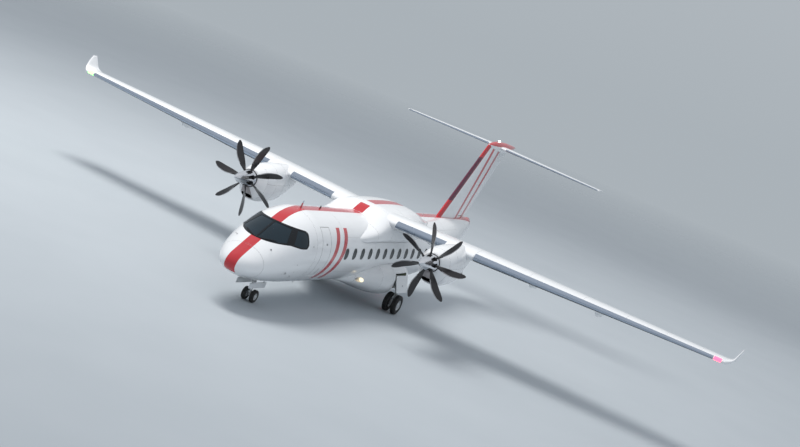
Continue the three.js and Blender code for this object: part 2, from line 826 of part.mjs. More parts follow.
add(wings, "wing_center", centre, "white_paint");

// Engines
const engines = section();
for (const { name, side } of SIDES) {
  const x = side * ENGINE_X;
  const point = (station, offset = 0, height = ENGINE_HEIGHT) => at(x + side * offset, station, height);
  const span = (half) => [x - half, x + half];

  const pipeFrom = point(EXHAUST.front, EXHAUST.offset, EXHAUST.height);
  const pipeTo = point(EXHAUST.back, EXHAUST.offset + EXHAUST.flare, EXHAUST.height - EXHAUST.droop);
  const past = pipeTo.clone().sub(pipeFrom).normalize();
  const tube = (start, beyond, grow) => {
    const from = pipeFrom.clone().addScaledVector(past, start);
    const to = pipeTo.clone().addScaledVector(past, beyond);
    return rod(from, to, EXHAUST.radius + grow, EXHAUST.radius + grow, ROUND_SIDES);
  };
  const pipe = tube(0, 0, 0).subtract(tube(EXHAUST.solid, RUN, -EXHAUST.wall));
  add(engines, `exhaust_${name}`, pipe, "hot_metal");

  const { half, rise } = BAY;
  const mouth = BAY.front - RUN;
  const bay = join(
    rod(point(mouth), point(BAY.step + RUN), BAY.mouth, BAY.mouth, ROUND_SIDES),
    block(...span(half), BAY.step, BAY.back, ENGINE_HEIGHT - rise, ENGINE_HEIGHT + rise),
  );
  const bearers = [-1, 1].map((s) =>
    block(
      x + s * (BLOCK.half + SEAT),
      x + s * (half + BEARER.into),
      BLOCK.front + BEARER.inset,
      BLOCK.back - BEARER.inset,
      ENGINE_HEIGHT + BEARER.low,
      ENGINE_HEIGHT + BEARER.high,
    ),
  );
  const intake = block(...span(INTAKE.half), mouth, INTAKE.back, INTAKE.bottom, INTAKE.top);
  const outerWing = [{ ...wingAt(WING_JOINT), x: WING_JOINT }, WING[2]];
  const nacelle = join(bodyLoft(NACELLE, 0, x).subtract(bay).subtract(intake), ...bearers)
    .subtract(centreWhole(SEAT))
    .subtract(foilLoft(outerWing, side, WING_CAMBER, SEAT))
    .subtract(tube(-SEAT, EXHAUST.clear, 2 * SEAT));
  add(engines, `nacelle_${name}`, nacelle, "white_paint");

  const engine = block(
    ...span(BLOCK.half),
    BLOCK.front,
    BLOCK.back,
    ENGINE_HEIGHT - BLOCK.rise,
    ENGINE_HEIGHT + BLOCK.rise,
  ).subtract(bore(point(BLOCK.front - RUN), point(PROP.shaftEnd + RUN), PROP.shaft, SHAFT_SIDES));
  add(engines, `engine_${name}`, engine, "cast_metal");

  // One blade points straight out along the wing
  const bladeAngles = Array.from({ length: BLADES }, (_, i) => (i * 2 * Math.PI) / BLADES);
  const radial = (angle, radius, station = PROP.plane) =>
    at(x + side * radius * Math.cos(angle), station, ENGINE_HEIGHT + radius * Math.sin(angle));
  const bladeRing = (angle, { radius, chord, thick, pitch, sweep }) => {
    const turn = THREE.MathUtils.degToRad(pitch);
    return BLADE_SECTION.map(([c, t]) => {
      const [u, w] = [c * chord + sweep, t * thick];
      const around = u * Math.cos(turn) - w * Math.sin(turn);
      const aft = u * Math.sin(turn) + w * Math.cos(turn);
      const bent = angle + around / radius;
      return radial(bent, radius, PROP.plane + aft);
    });
  };
  const shank = (angle, end, radius, endRadius) =>
    rod(radial(angle, PROP.rootStart), radial(angle, end), radius, endRadius, PROP.rootSides);
  const blades = bladeAngles.flatMap((angle) => [
    shank(angle, PROP.rootEnd, PROP.root, PROP.root * PROP.rootTaper),
    loft(BLADE.map((row) => bladeRing(angle, row))),
  ]);
  const propeller = join(
    rod(point(PROP.front), point(PROP.back), PROP.hubRadius, PROP.hubRadius, HUB_SIDES),
    rod(point(PROP.back - RUN), point(PROP.shaftEnd), PROP.shaft, PROP.shaft, SHAFT_SIDES),
    ...blades,
  );
  add(engines, `propeller_${name}`, propeller, "blade_black");

  const profile = [...SPINNER, [0, SPINNER_BACK - SPINNER_TIP]].map(([r, a]) => new THREE.Vector2(r, a));
  const cone = new THREE.LatheGeometry(profile, HUB_SIDES);
  const tip = point(SPINNER_TIP);
  const [hubRadius, rootRadius] = [PROP.hubRadius + SPINNER_GAP.hub, PROP.root + SPINNER_GAP.root];
  const hub = rod(point(PROP.front - SEAT), point(SPINNER_BACK + RUN), hubRadius, hubRadius, HUB_SIDES);
  const holes = bladeAngles.map((angle) => shank(angle, PROP.rootEnd, rootRadius, rootRadius));
  const spinner = [hub, ...holes].reduce(
    (left, cut) => left.subtract(cut),
    solid(cone.translate(tip.x, tip.y, tip.z)),
  );
  add(engines, `spinner_${name}`, spinner, "polished_metal");
}

// Tail
const finRing = (row, grow) => {
  const chord = row.trailing - row.leading;
  const point = (f, sign) => {
    const half = row.thick * fullness(f) + grow;
    return at(sign * half, row.leading + f * chord + (f === 1 ? grow : 0), row.height);
  };
  const back = [...CHORD_STEPS].reverse();
  return [
    ...back.map((f) => point(f, -1)),
    at(0, row.leading - grow, row.height),
    ...CHORD_STEPS.map((f) => point(f, 1)),
  ];
};
const finWhole = loft(FIN.map((row) => finRing(row, 0)));
const finSpar = (height) => {
  const row = between(FIN, "height", height);
  const station = row.leading + RUDDER.fraction * (row.trailing - row.leading);
  return { station, point: at(0, station, height), half: row.thick * fullness(RUDDER.fraction) };
};

function rudderBlock(gap, topSlope) {
  const [low, high] = [RUDDER.low - gap, RUDDER.high + gap];
  const [a, b] = [finSpar(low), finSpar(high)];
  const outline = [
    [a.station, low],
    [a.station + RUDDER.reach, low],
    [b.station + RUDDER.reach, high - topSlope * RUDDER.reach],
    [b.station, high],
  ];
  return across(outline, -FAR, FAR);
}
const tail = section();
const rudder = hinged(
  finWhole.subtract(bodySkin).subtract(bodyLoft(BULLET, SEAT, 0, SMALL_SIDES)),
  finWhole,
  rudderBlock(0, RUDDER.topSlope),
  rudderBlock(RUDDER.gap, 0),
  [finSpar(RUDDER.low), finSpar(RUDDER.high)],
  RUDDER.pin,
  RUDDER.stub,
  RUDDER.gap,
);
add(tail, "fin", rudder.fixed, "white_paint");
add(tail, "rudder", rudder.moving, "white_paint");

const tailRows = [-1, 0, 1].map((s) => ({ ...TAILPLANE[Math.abs(s)], x: s * TAILPLANE[1].x }));
let tailplane = foilLoft(tailRows, 1);
const tailWhole = tailplane;
for (const { name, side } of SIDES) {
  const ends = [ELEVATOR.from, ELEVATOR.to].map((x) => spar(TAILPLANE, x, ELEVATOR.fraction, side));
  const made = hinged(
    tailplane,
    tailWhole,
    behindHinge(ends, ELEVATOR, side, 0),
    behindHinge(ends, ELEVATOR, side, 2 * RUN),
    ends,
    ELEVATOR.pin,
    ELEVATOR.stub,
  );
  tailplane = made.fixed;
  add(tail, `elevator_${name}`, made.moving, "white_paint");
}
add(tail, "tailplane", tailplane, "white_paint");
const bullet = bodyLoft(BULLET, 0, 0, SMALL_SIDES).subtract(foilLoft(tailRows, 1, 0, SEAT));
add(tail, "fin_bullet", bullet, "white_paint");

// Wheels: a rim turned about its axle, and the tyre on it. Shares are of the tyre's radius and half width.
const RIM = { radius: 0.52, half: 0.8, web: 0.3, lip: 14, well: 30 };
const TREAD = { half: 0.55, shoulder: 0.35 };
function rim({ tyreRadius, tyreHalf, axle }) {
  const radius = tyreRadius * RIM.radius;
  const inner = axle + SEAT;
  const [half, web] = [tyreHalf * RIM.half, tyreHalf * RIM.web];
  const profile = [
    [inner, -half],
    [radius - RIM.well, -web],
    [radius - RIM.lip, -half],
    [radius, -half],
    [radius, half],
    [radius - RIM.lip, half],
    [radius - RIM.well, web],
    [inner, half],
    [inner, -half],
  ];
  return solid(turned(profile, ROUND_SIDES));
}
function tyre({ tyreRadius, tyreHalf }) {
  const inner = tyreRadius * RIM.radius + SEAT;
  const shoulder = tyreRadius - TREAD.shoulder * tyreHalf;
  const [bead, tread] = [RIM.half * tyreHalf, TREAD.half * tyreHalf];
  const profile = [
    [inner, -bead],
    [shoulder, -tyreHalf],
    [tyreRadius, -tread],
    [tyreRadius, tread],
    [shoulder, tyreHalf],
    [inner, bead],
    [inner, -bead],
  ];
  return solid(turned(profile, ROUND_SIDES));
}

// Main gear
const gear = section();
let belly = bodyLoft(BELLY).subtract(bodySkin);
for (const { name, side } of SIDES) {
  const { front, back, inner, outer, low, high } = MAIN_WELL;
  const top = (station) => at(side * MAIN.trunnionX, station, MAIN.trunnionHeight);
  const trunnion = (past) => [top(front - PIN_REACH - past), top(back + PIN_REACH + past)];
  belly = belly
    .subtract(block(side * inner, side * outer, front, back, low, high))
    .subtract(rod(...trunnion(PIN_END), MAIN.trunnion + SEAT));

  const axleHeight = GROUND + MAIN.tyreRadius;
  const axlePoint = (offset) => at(side * MAIN.x + offset, MAIN.station, axleHeight);
  const elbow = at(side * MAIN.x, MAIN.station, MAIN.elbowHeight);
  const reach = MAIN.spacing + MAIN.tyreHalf;

  const d = MAIN_DOOR;
  const panel = [
    at(side * d.topX, front + d.inset, d.topHeight),
    at(side * d.topX, back - d.inset, d.topHeight),
    at(side * d.lowX, back - d.lowInset, d.lowHeight),
    at(side * d.lowX, front + d.lowInset, d.lowHeight),
  ];
  const outward = new THREE.Vector3(side * (d.topHeight - d.lowHeight), 0, d.lowX - d.topX).normalize();
  const layer = (from, to) =>
    loft([from, to].map((distance) => panel.map((p) => p.clone().addScaledVector(outward, distance))));
  add(gear, `main_gear_door_${name}`, layer(0, d.skin), "white_paint");

  const barEnd = at(side * d.barX, (front + back) / 2, d.barHeight);
  const leg = join(
    rod(...trunnion(0), MAIN.trunnion),
    rod(top(MAIN.station), elbow, MAIN.shoulder, MAIN.strut),
    rod(elbow, axlePoint(0), MAIN.strut),
    rod(top(front + MAIN.braceFront), elbow, MAIN.brace),
    rod(top(back - MAIN.braceBack), elbow, MAIN.brace),
    rod(axlePoint(-MAIN.knuckleHalf), axlePoint(MAIN.knuckleHalf), MAIN.knuckle),
    rod(axlePoint(-reach), axlePoint(reach), MAIN.axle, MAIN.axle, ROUND_SIDES),
    rod(elbow.clone().lerp(top(MAIN.station), 0.5), barEnd, d.bar),
  );
  add(gear, `main_leg_${name}`, leg.subtract(layer(-SEAT, FAR)), "gear_grey");

  for (const [place, s] of [["inner", -1], ["outer", 1]]) {
    const position = axlePoint(side * s * MAIN.spacing);
    add(gear, `main_hub_${place}_${name}`, rim(MAIN), "gear_grey", position);
    add(gear, `main_tyre_${place}_${name}`, tyre(MAIN), "rubber", position);
  }
}
add(body, "belly_fairing", belly, "white_paint");

// Nose gear: the leg's barrel is fixed, and the fork turns in it
const nosePoint = (height) => at(0, NOSE.station, height);
const noseLeg = join(
  rod(nosePoint(NOSE.barrelTop), nosePoint(NOSE.barrelEnd), NOSE.barrel, NOSE.barrel, ROUND_SIDES),
  acrossNoseWell(NOSE.station, NOSE.trunnionHeight, NOSE.trunnion),
  rod(nosePoint(NOSE.braceFoot), at(0, BRACE.station, BRACE.height), BRACE.strut),
  acrossNoseWell(BRACE.station, BRACE.height, BRACE.pin),
).subtract(bore(nosePoint(NOSE.boreTop), nosePoint(NOSE.barrelEnd - RUN), NOSE.piston, SHAFT_SIDES));
add(gear, "nose_leg", noseLeg, "gear_grey");

const noseAxle = GROUND + NOSE.tyreRadius;
const axleStation = NOSE.station + NOSE.trail;
const noseReach = NOSE.spacing + NOSE.tyreHalf;
const noseAxlePoint = (x) => at(x, axleStation, noseAxle);
const fork = join(
  rod(nosePoint(NOSE.pistonTop), nosePoint(NOSE.pistonEnd), NOSE.piston, NOSE.piston, SHAFT_SIDES),
  block(
    -FORK.half,
    FORK.half,
    NOSE.station - FORK.front,
    axleStation + FORK.half,
    noseAxle - FORK.half,
    FORK.high,
  ),
  rod(noseAxlePoint(-noseReach), noseAxlePoint(noseReach), NOSE.axle, NOSE.axle, ROUND_SIDES),
  block(-TOW.half, TOW.half, TOW.front, NOSE.station, TOW.height - TOW.rise, TOW.height + TOW.rise),
);
add(gear, "nose_fork", fork, "gear_grey");
for (const { name, side } of SIDES) {
  const position = noseAxlePoint(side * NOSE.spacing);
  add(gear, `nose_hub_${name}`, rim(NOSE), "gear_grey", position);
  add(gear, `nose_tyre_${name}`, tyre(NOSE), "rubber", position);

  const inside = side * (NOSE_WELL.half - SEAT);
  const [front, back] = [NOSE_WELL.front + NOSE_DOOR.inset, NOSE_WELL.back - NOSE_DOOR.inset];
  const tabs = [0.15, 0.8].map((share) => {
    const station = front + share * (back - front);
    const { tab, tabWidth, high, tabHigh } = NOSE_DOOR;
    return block(inside - side * tab, inside, station, station + tabWidth, high - tab, tabHigh);
  });
  const door = join(
    block(inside - side * NOSE_DOOR.skin, inside, front, back, NOSE_DOOR.low, NOSE_DOOR.high),
    ...tabs,
  );
  add(gear, `nose_gear_door_${name}`, door, "white_paint");
}

export default model;
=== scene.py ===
# %% [markdown]
# # A twin turboprop airliner with a high wing
# The aircraft stands on its landing gear, ready to be walked round. Its plain solids come from a
# CAD model, and this script gives them their real surfaces: curved skins, glass, paint and small parts.
# Everything is in metres. The nose points along -Y, the left wing along +X, and +Z is up.

# %% The CAD model as a fixed frame
import json
from math import asin, atan2, radians, sqrt

import bmesh
import bpy
import numpy as np
from mathutils import Matrix, Vector
from mathutils.bvhtree import BVHTree
from numpy import array, cos, interp, linspace, pi, sin, stack
from numpy.linalg import norm


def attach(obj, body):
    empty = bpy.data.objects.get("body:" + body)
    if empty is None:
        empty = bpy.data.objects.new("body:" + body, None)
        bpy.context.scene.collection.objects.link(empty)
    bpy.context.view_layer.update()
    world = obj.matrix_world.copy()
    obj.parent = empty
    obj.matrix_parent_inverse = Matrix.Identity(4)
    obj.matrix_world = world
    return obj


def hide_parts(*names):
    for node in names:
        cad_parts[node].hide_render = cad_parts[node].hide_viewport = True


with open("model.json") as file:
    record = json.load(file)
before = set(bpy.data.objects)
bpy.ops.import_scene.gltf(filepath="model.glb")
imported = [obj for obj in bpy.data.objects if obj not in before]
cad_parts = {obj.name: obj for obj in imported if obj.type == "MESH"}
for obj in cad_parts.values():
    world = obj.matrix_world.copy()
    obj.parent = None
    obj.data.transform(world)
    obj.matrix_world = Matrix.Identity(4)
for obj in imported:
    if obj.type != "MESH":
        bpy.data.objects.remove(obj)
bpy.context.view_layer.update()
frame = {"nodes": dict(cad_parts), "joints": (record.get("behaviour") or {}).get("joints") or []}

# %% [markdown]
# ## Stations and heights
# Aircraft builders place everything by station, the distance aft of the nose tip, and by height above the
# fuselage axis. One function turns such a pair into a point, so every table below can use the builder's
# own numbers.

# %% Stations and heights
LENGTH, AXIS_HEIGHT = 25.88, 2.2
SIDES = {"left": 1, "right": -1}
BEHIND = 40.0  # a distance past the tail, for cutting blocks


def at(x, station, height):
    parts = np.broadcast_arrays(x, array(station) - LENGTH / 2, array(height) + AXIS_HEIGHT)
    return stack(parts, -1).astype(float)


def unit(direction):
    return direction / norm(direction)


def placed(name, data):
    made = bpy.data.objects.new(name, data)
    bpy.context.scene.collection.objects.link(made)
    return made


print("the nose tip is at", at(0, 0, -0.76))

# %% [markdown]
# ## The camera
# The aircraft banks in a turn when it is seen from another aircraft, so the camera is rolled. Two angles
# give the line of sight, and the roll tilts the picture about it. A matrix built from three axes avoids
# any guess about the order of rotations.

# %% The camera
CAMERA_AT, LENS = (21.692, -60.895, 11.39), 72.18
azimuth, elevation, roll = (radians(angle) for angle in (19.17, 7.138, 22.227))
back = Vector((sin(azimuth) * cos(elevation), -cos(azimuth) * cos(elevation), sin(elevation)))
level = Vector((cos(azimuth), sin(azimuth), 0))
across = level * cos(roll) + back.cross(level) * sin(roll)
camera = placed("camera", bpy.data.cameras.new("camera"))
camera.data.sensor_width, camera.data.lens = 36, LENS
camera.data.clip_start, camera.data.clip_end = 1, 2000
axes = Matrix((across, back.cross(across), back)).transposed()
camera.matrix_world = Matrix.Translation(CAMERA_AT) @ axes.to_4x4()
bpy.context.scene.camera = camera
print("camera", [round(v, 2) for v in camera.location])

# %% [markdown]
# ## Node helpers
# Written out one by one, the nodes of a material hide what they do. A helper adds a node, sets its plain
# inputs and links the others in a single line.

# %% Node helpers
class Network:
    """Adds nodes to a tree: a socket given as an input is linked, anything else is set."""

    def __init__(self, tree):
        self.tree = tree

    def add(self, kind, inputs={}, out=0, family="Shader", **settings):
        node = self.tree.nodes.new(f"{family}Node{kind}")
        for key, value in settings.items():
            setattr(node, key, value)
        for key, value in inputs.items():
            if isinstance(value, bpy.types.NodeSocket):
                self.link(value, node, key)
            else:
                node.inputs[key].default_value = value
        return node.outputs[out]

    def geo(self, kind, inputs={}, out=0, **settings):
        return self.add(kind, inputs, out, "Geometry", **settings)

    def link(self, value, node, key):
        self.tree.links.new(value, node.inputs[key])

    def math(self, operation, *values):
        return self.add("Math", dict(enumerate(values)), operation=operation)

    def spread(self, value, low, high, to_low, to_high):
        """Maps a value from one range to another, held inside it."""
        ends = {"From Min": low, "From Max": high, "To Min": to_low, "To Max": to_high}
        return self.add("MapRange", {"Value": value, **ends})

    def blend(self, factor, first, second):
        return self.add("Mix", {0: factor, 6: (*first, 1), 7: (*second, 1)}, 2, data_type="RGBA")

    def noise(self, place, scale, detail=4.0):
        return self.add("TexNoise", {"Vector": place, "Scale": scale, "Detail": detail})

    def bump(self, shader, height, strength, depth):
        self.link(self.add("Bump", {"Height": height, "Strength": strength, "Distance": depth}), shader, "Normal")


def finish(name, color, roughness, metallic=0.0, **shader_inputs):
    """A material, its network, its shader, and the object's own coordinates."""
    made = bpy.data.materials.new(name)
    made.use_nodes = True
    shader = made.node_tree.nodes["Principled BSDF"]
    plain = {"Base Color": (*color, 1), "Roughness": roughness, "Metallic": metallic, **shader_inputs}
    for key, value in plain.items():
        shader.inputs[key.replace("_", " ")].default_value = value
    net = Network(made.node_tree)
    return made, net, shader, net.add("TexCoord", out="Object")


print("node helpers:", [name for name in vars(Network) if name[0] != "_"])

# %% [markdown]
# ## White paint
# An airliner's thick, glossy paint isn't one flat white: the gloss varies, rain leaves faint streaks that
# run aft, and the paint turns darker towards the bottom. The streaks come from squeezing the coordinates
# across the aircraft, so that the noise is long from nose to tail.

# %% White paint
WHITE, DARK_TONE, RED = (0.83, 0.845, 0.865), (0.42, 0.41, 0.39), (0.5, 0.012, 0.022)


def painted(name, color=WHITE, livery=None):
    """Glossy paint, with red where the livery function says so."""
    made, net, shader, place = finish(name, color, 0.25, Coat_Weight=0.6, Coat_Roughness=0.08)
    squeezed = net.add("Mapping", {"Vector": place, "Scale": (5.0, 0.5, 5.0)})
    streaks = net.spread(net.noise(squeezed, 3.0), 0.5, 0.8, 0.0, 0.07)
    cloud = net.noise(place, 0.8, 2.0)
    # darker towards the bottom: below 2.4 m the dark tone is mixed in, more the lower a point lies
    low = net.spread(net.add("SeparateXYZ", {0: place}, 2), 0.5, 2.4, 0.16, 0.0)
    paint = net.blend(net.math("MULTIPLY", net.math("ADD", streaks, low), cloud), color, DARK_TONE)
    if livery:
        mask = {0: livery(net, place), 6: paint, 7: (*RED, 1)}
        paint = net.add("Mix", mask, 2, data_type="RGBA")
    net.link(paint, shader, "Base Color")
    net.link(net.spread(cloud, 0.35, 0.7, 0.2, 0.27), shader, "Roughness")
    net.bump(shader, net.noise(place, 220.0, 3.0), 1.0, 0.0002)
    return made


print("white:", WHITE, "dark_tone:", DARK_TONE, "red:", RED)

# %% [markdown]
# ## The livery
# The red trim is a mask computed from the object's own coordinates: a band is one where a coordinate lies
# within half a width of its middle. So its edges stay sharp at any distance, and a stripe runs on without
# a step from the nose over the roof.

# %% The livery
STRIPE_HALF = 0.21
ROOF_LINE = (1, 3.6, -1.02, 1)  # from and to station, and the height above which the stripe shows
BARS = {"at": (5.2, 5.92), "half": 0.16, "lean": 0.35, "middle": 0.02, "reach": 0.98}
FIN_SLOPE = 0.8589  # how far the fin's leading edge goes aft for each metre it rises
FIN_BARS = {"at": (2.22, 3.15), "half": 0.16, "lean": 0.42}
FIN_FOOT = (18.68, 1.456)  # station and height of a point on its leading edge
FIN_STRIP, BULLET_TOP = 0.3, 4.96


def stations(net, place):
    """The x, station and height of the point that is shaded."""
    x, y, z = net.add("SeparateXYZ", {0: place}).node.outputs
    return x, net.math("ADD", y, LENGTH / 2), net.math("SUBTRACT", z, AXIS_HEIGHT)


def body_livery(net, place):
    x, station, height = stations(net, place)
    roof = net.math("GREATER_THAN", height, net.spread(station, *ROOF_LINE))
    red = net.math("MULTIPLY", net.math("COMPARE", x, 0.0, STRIPE_HALF), roof)
    slanted = net.math("SUBTRACT", station, net.math("MULTIPLY", height, BARS["lean"]))
    tall = net.math("COMPARE", height, BARS["middle"], BARS["reach"])
    for middle in BARS["at"]:
        bar = net.math("MULTIPLY", net.math("COMPARE", slanted, middle, BARS["half"]), tall)
        red = net.math("MAXIMUM", red, bar)
    return red


def fin_livery(net, place):
    x, station, height = stations(net, place)
    rise = net.math("SUBTRACT", height, FIN_FOOT[1])
    edge = net.math("ADD", net.math("MULTIPLY", rise, FIN_SLOPE), FIN_FOOT[0])
    depth = net.math("SUBTRACT", station, edge)
    red = net.math("LESS_THAN", depth, FIN_STRIP)
    slanted = net.math("ADD", depth, net.math("MULTIPLY", rise, FIN_BARS["lean"]))
    for middle in FIN_BARS["at"]:
        red = net.math("MAXIMUM", red, net.math("COMPARE", slanted, middle, FIN_BARS["half"]))
    return red


def bullet_livery(net, place):
    return net.math("GREATER_THAN", stations(net, place)[2], BULLET_TOP)


body_white = painted("body_paint", livery=body_livery)
white = painted("wing_paint")
fin_white = painted("fin_paint", livery=fin_livery)
bullet_white = painted("bullet_paint", livery=bullet_livery)
red = painted("red_paint", RED)
print("livery masks ready:", body_white.name, fin_white.name)

# %% [markdown]
# ## Glass, metal and rubber
# Each finish repeats one idea: a base colour, a roughness that a noise breaks up, and a fine ripple.
# Cockpit glass is nearly black from outside, because the cabin behind it is dark, so an opaque shader with
# a clear coat looks right and bakes well.

# %% Glass, metal and rubber
def worn(name, color, roughness, metallic=0.0, scale=6.0, tone=0.12, depth=0.0002, fine=180.0, **more):
    """A finish whose tone and gloss drift over the surface."""
    made, net, shader, place = finish(name, color, roughness, metallic, **more)
    drift = net.noise(place, scale)
    dark, light = ([min(1.0, c * change) for c in color] for change in (1 - tone, 1 + tone))
    net.link(net.blend(net.spread(drift, 0.3, 0.7, 0.0, 1.0), dark, light), shader, "Base Color")
    net.link(net.spread(drift, 0.3, 0.7, roughness * 0.8, roughness * 1.25), shader, "Roughness")
    net.bump(shader, net.noise(place, fine, 3.0), 1.0, depth)
    return made, net, shader, place


def plain(*args, **more):
    return worn(*args, **more)[0]


def lamp(name, color, strength):
    light = {"Emission_Color": (*color, 1), "Emission_Strength": strength}
    return plain(name, color, 0.12, scale=30.0, depth=0.0001, **light)


glass = plain("dark_glass", (0.004, 0.016, 0.026), 0.07, scale=1.5, depth=3e-5, Specular_IOR_Level=0.36)
cabin_glass = plain("cabin_glass", (0.022, 0.03, 0.034), 0.16, scale=2.0, depth=3e-5, Specular_IOR_Level=0.3)
seal = plain("black_seal", (0.012, 0.012, 0.014), 0.45)
mask_black = plain("windscreen_mask", (0.003, 0.005, 0.008), 0.24, depth=5e-5, Specular_IOR_Level=0.3)
window_ring = plain("window_ring", (0.6, 0.62, 0.64), 0.35, 0.4)
# Metal for the leading edge strips and the aerial's tip. Its blue-grey tone is painted shade, the shade under a
# leading edge.
edge_metal = plain("edge_metal", (0.42, 0.48, 0.57), 0.25, 1.0, scale=1.2, tone=0.03)
blade_black = plain("blade_black", (0.013, 0.012, 0.014), 0.32, scale=4.0, Coat_Weight=0.3, Coat_Roughness=0.2)
# The grey of the chin round each engine's air slot is painted shade, where the chin faces down and forward.
chin_grey = plain("chin_grey", (0.34, 0.32, 0.33), 0.38)
# Near black for the walls of the intake, its scoop, the hole round each exhaust pipe and the spinner's openings:
# painted shade in these recesses.
recess_shade_black = plain("duct", (0.006, 0.006, 0.007), 0.8)
boot_black = plain("boot", (0.016, 0.018, 0.02), 0.42, depth=0.0004)
boot_maroon = plain("fin_boot", (0.105, 0.012, 0.04), 0.3, Coat_Weight=0.4, Coat_Roughness=0.15)
gear_paint = plain("gear_paint", (0.62, 0.64, 0.66), 0.42, scale=12.0, tone=0.15)
chrome = plain("chrome", (0.85, 0.86, 0.88), 0.08, 1.0, scale=20.0, tone=0.03)
steel = plain("steel", (0.42, 0.42, 0.43), 0.35, 1.0, scale=20.0)
liner = plain("liner", (0.16, 0.165, 0.17), 0.6)
zinc_green = plain("primer", (0.3, 0.33, 0.22), 0.55, scale=5.0)
hose_black = plain("hose", (0.02, 0.02, 0.022), 0.5)
red_lens = lamp("red_lens", (1.0, 0.03, 0.06), 9.0)
green_lens = lamp("green_lens", (0.15, 1.0, 0.1), 7.0)
white_lens = lamp("white_lens", (1.0, 0.96, 0.86), 4.0)
warm_lens = lamp("landing_lens", (1.0, 0.86, 0.62), 1.2)
clear_lens = plain("clear_lens", (0.75, 0.78, 0.8), 0.08, Coat_Weight=1.0)

# Three finishes have a mark of their own: turning rings, heat tint, and dust in the tread.
spinner_metal, net, shader, place = worn(
    "polished_metal", (0.8, 0.81, 0.84), 0.13, 1.0, scale=3.0, tone=0.04, depth=0.0
)
rings = net.add("Mapping", {"Vector": place, "Scale": (0.0, 400.0, 0.0)})
net.bump(shader, net.noise(rings, 1.0, 2.0), 0.15, 0.0002)

hot_steel, net, shader, place = worn("hot_metal", (0.36, 0.29, 0.24), 0.38, 1.0, scale=5.0, tone=0.2)
blue = net.spread(stations(net, place)[1], 10.7, 11.15, 0.0, 0.75)
net.link(net.blend(blue, (0.38, 0.3, 0.24), (0.17, 0.17, 0.22)), shader, "Base Color")

tyre_rubber, net, shader, place = worn("tyre_rubber", (0.022, 0.022, 0.023), 0.8, scale=9.0, tone=0.2, fine=90.0)
dust = net.spread(net.noise(place, 14.0), 0.5, 0.75, 0.0, 0.25)
net.link(net.blend(dust, (0.022, 0.022, 0.023), (0.16, 0.145, 0.12)), shader, "Base Color")
print("finishes:", len(bpy.data.materials))

# %% [markdown]
# ## The studio
# A pale floor that fades into an even pale surround hides its own edge. The light is soft and comes from
# above and from the right side of the aircraft: one very large panel as the key, a wide weak one from the
# left, one from behind, and the surround itself.

# %% The studio
FLOOR_RADIUS, FLOOR_FADE = 300.0, (55.0, 150.0)
SURROUND, ZENITH, STRENGTH = (0.56, 0.62, 0.67), (0.92, 0.95, 1.0), 0.72
world = bpy.context.scene.world = bpy.data.worlds.new("surround")
world.use_nodes = True
net, background = Network(world.node_tree), world.node_tree.nodes["Background"]
height = net.add("SeparateXYZ", {0: net.add("TexCoord", out="Generated")}, 2)
net.link(net.blend(net.spread(height, 0.0, 0.9, 0.0, 1.0), SURROUND, ZENITH), background, "Color")
background.inputs["Strength"].default_value = STRENGTH

floor_finish, net, shader, place = finish("floor", (0.43, 0.47, 0.505), 0.75)
net.link(net.blend(net.noise(place, 0.25, 5.0), (0.405, 0.445, 0.48), (0.45, 0.49, 0.525)), shader, "Base Color")
flat = net.add("VectorMath", {0: place}, "Value", operation="LENGTH")
net.link(net.spread(flat, *FLOOR_FADE, 1.0, 0.0), shader, "Alpha")
mesh = bpy.data.meshes.new("floor")
turns = linspace(0, 2 * pi, 96, endpoint=False)
mesh.from_pydata([(FLOOR_RADIUS * cos(t), FLOOR_RADIUS * sin(t), -0.002) for t in turns], [], [range(96)])
mesh.materials.append(floor_finish)
placed("floor", mesh)

LIGHTS = [  # name, place, width, watts, colour
    ("key", (-20, -6, 46), 24, 21000, (1.0, 0.975, 0.94)),
    ("fill", (40, -30, 24), 30, 1200, (0.86, 0.92, 1.0)),
    ("rim", (10, 46, 30), 26, 2500, (1.0, 0.98, 0.95)),
]
for name, place, width, watts, color in LIGHTS:
    light = bpy.data.lights.new(name, "AREA")
    light.shape, light.size, light.energy, light.color = "DISK", width, watts, color
    panel_light = placed(name, light)
    panel_light.visible_glossy = False
    aim = (-Vector(place)).to_track_quat("-Z", "Y").to_matrix()
    panel_light.matrix_world = Matrix.Translation(place) @ aim.to_4x4()
bpy.context.scene.view_settings.view_transform = "Standard"
bpy.context.scene.view_settings.look = "None"
print("studio lights:", len(LIGHTS))

# %% [markdown]
# ## Mesh helpers
# A fuselage, a nacelle and a bullet fairing are all skins through a row of rings. A monotone cubic curve
# runs through each column of a table, so a few sections give a smooth shape that never bulges past its
# numbers, as an ordinary spline would.

# %% Curves and skins
def curve(keys, values):
    """The monotone cubic curve through the points (keys, values)."""
    x, y = array(keys, float), array(values, float)
    step, rise = np.diff(x), np.diff(y) / np.diff(x)
    slope = np.zeros(len(x))
    slope[0], slope[-1] = rise[0], rise[-1]
    for i in range(1, len(x) - 1):
        if rise[i - 1] * rise[i] > 0:
            w1, w2 = 2 * step[i] + step[i - 1], step[i] + 2 * step[i - 1]
            slope[i] = (w1 + w2) / (w1 / rise[i - 1] + w2 / rise[i])

    def value(t):
        i = np.clip(np.searchsorted(x, t) - 1, 0, len(step) - 1)
        s = (t - x[i]) / step[i]
        hold = y[i] * (1 + 2 * s) * (1 - s) ** 2 + y[i + 1] * s * s * (3 - 2 * s)
        return hold + step[i] * s * (1 - s) * (slope[i] * (1 - s) - slope[i + 1] * s)

    return value


print("a curve that rises and then stays level, at 0.5:", curve((0, 1, 2), (0, 1, 1))(0.5))


# %% Skins through rings
def turns_of(sides):
    return np.arange(sides) * 2 * pi / sides


def shade(made, sharp=35):
    made.data.shade_smooth()
    made.data.set_sharp_from_angle(angle=radians(sharp))
    return made


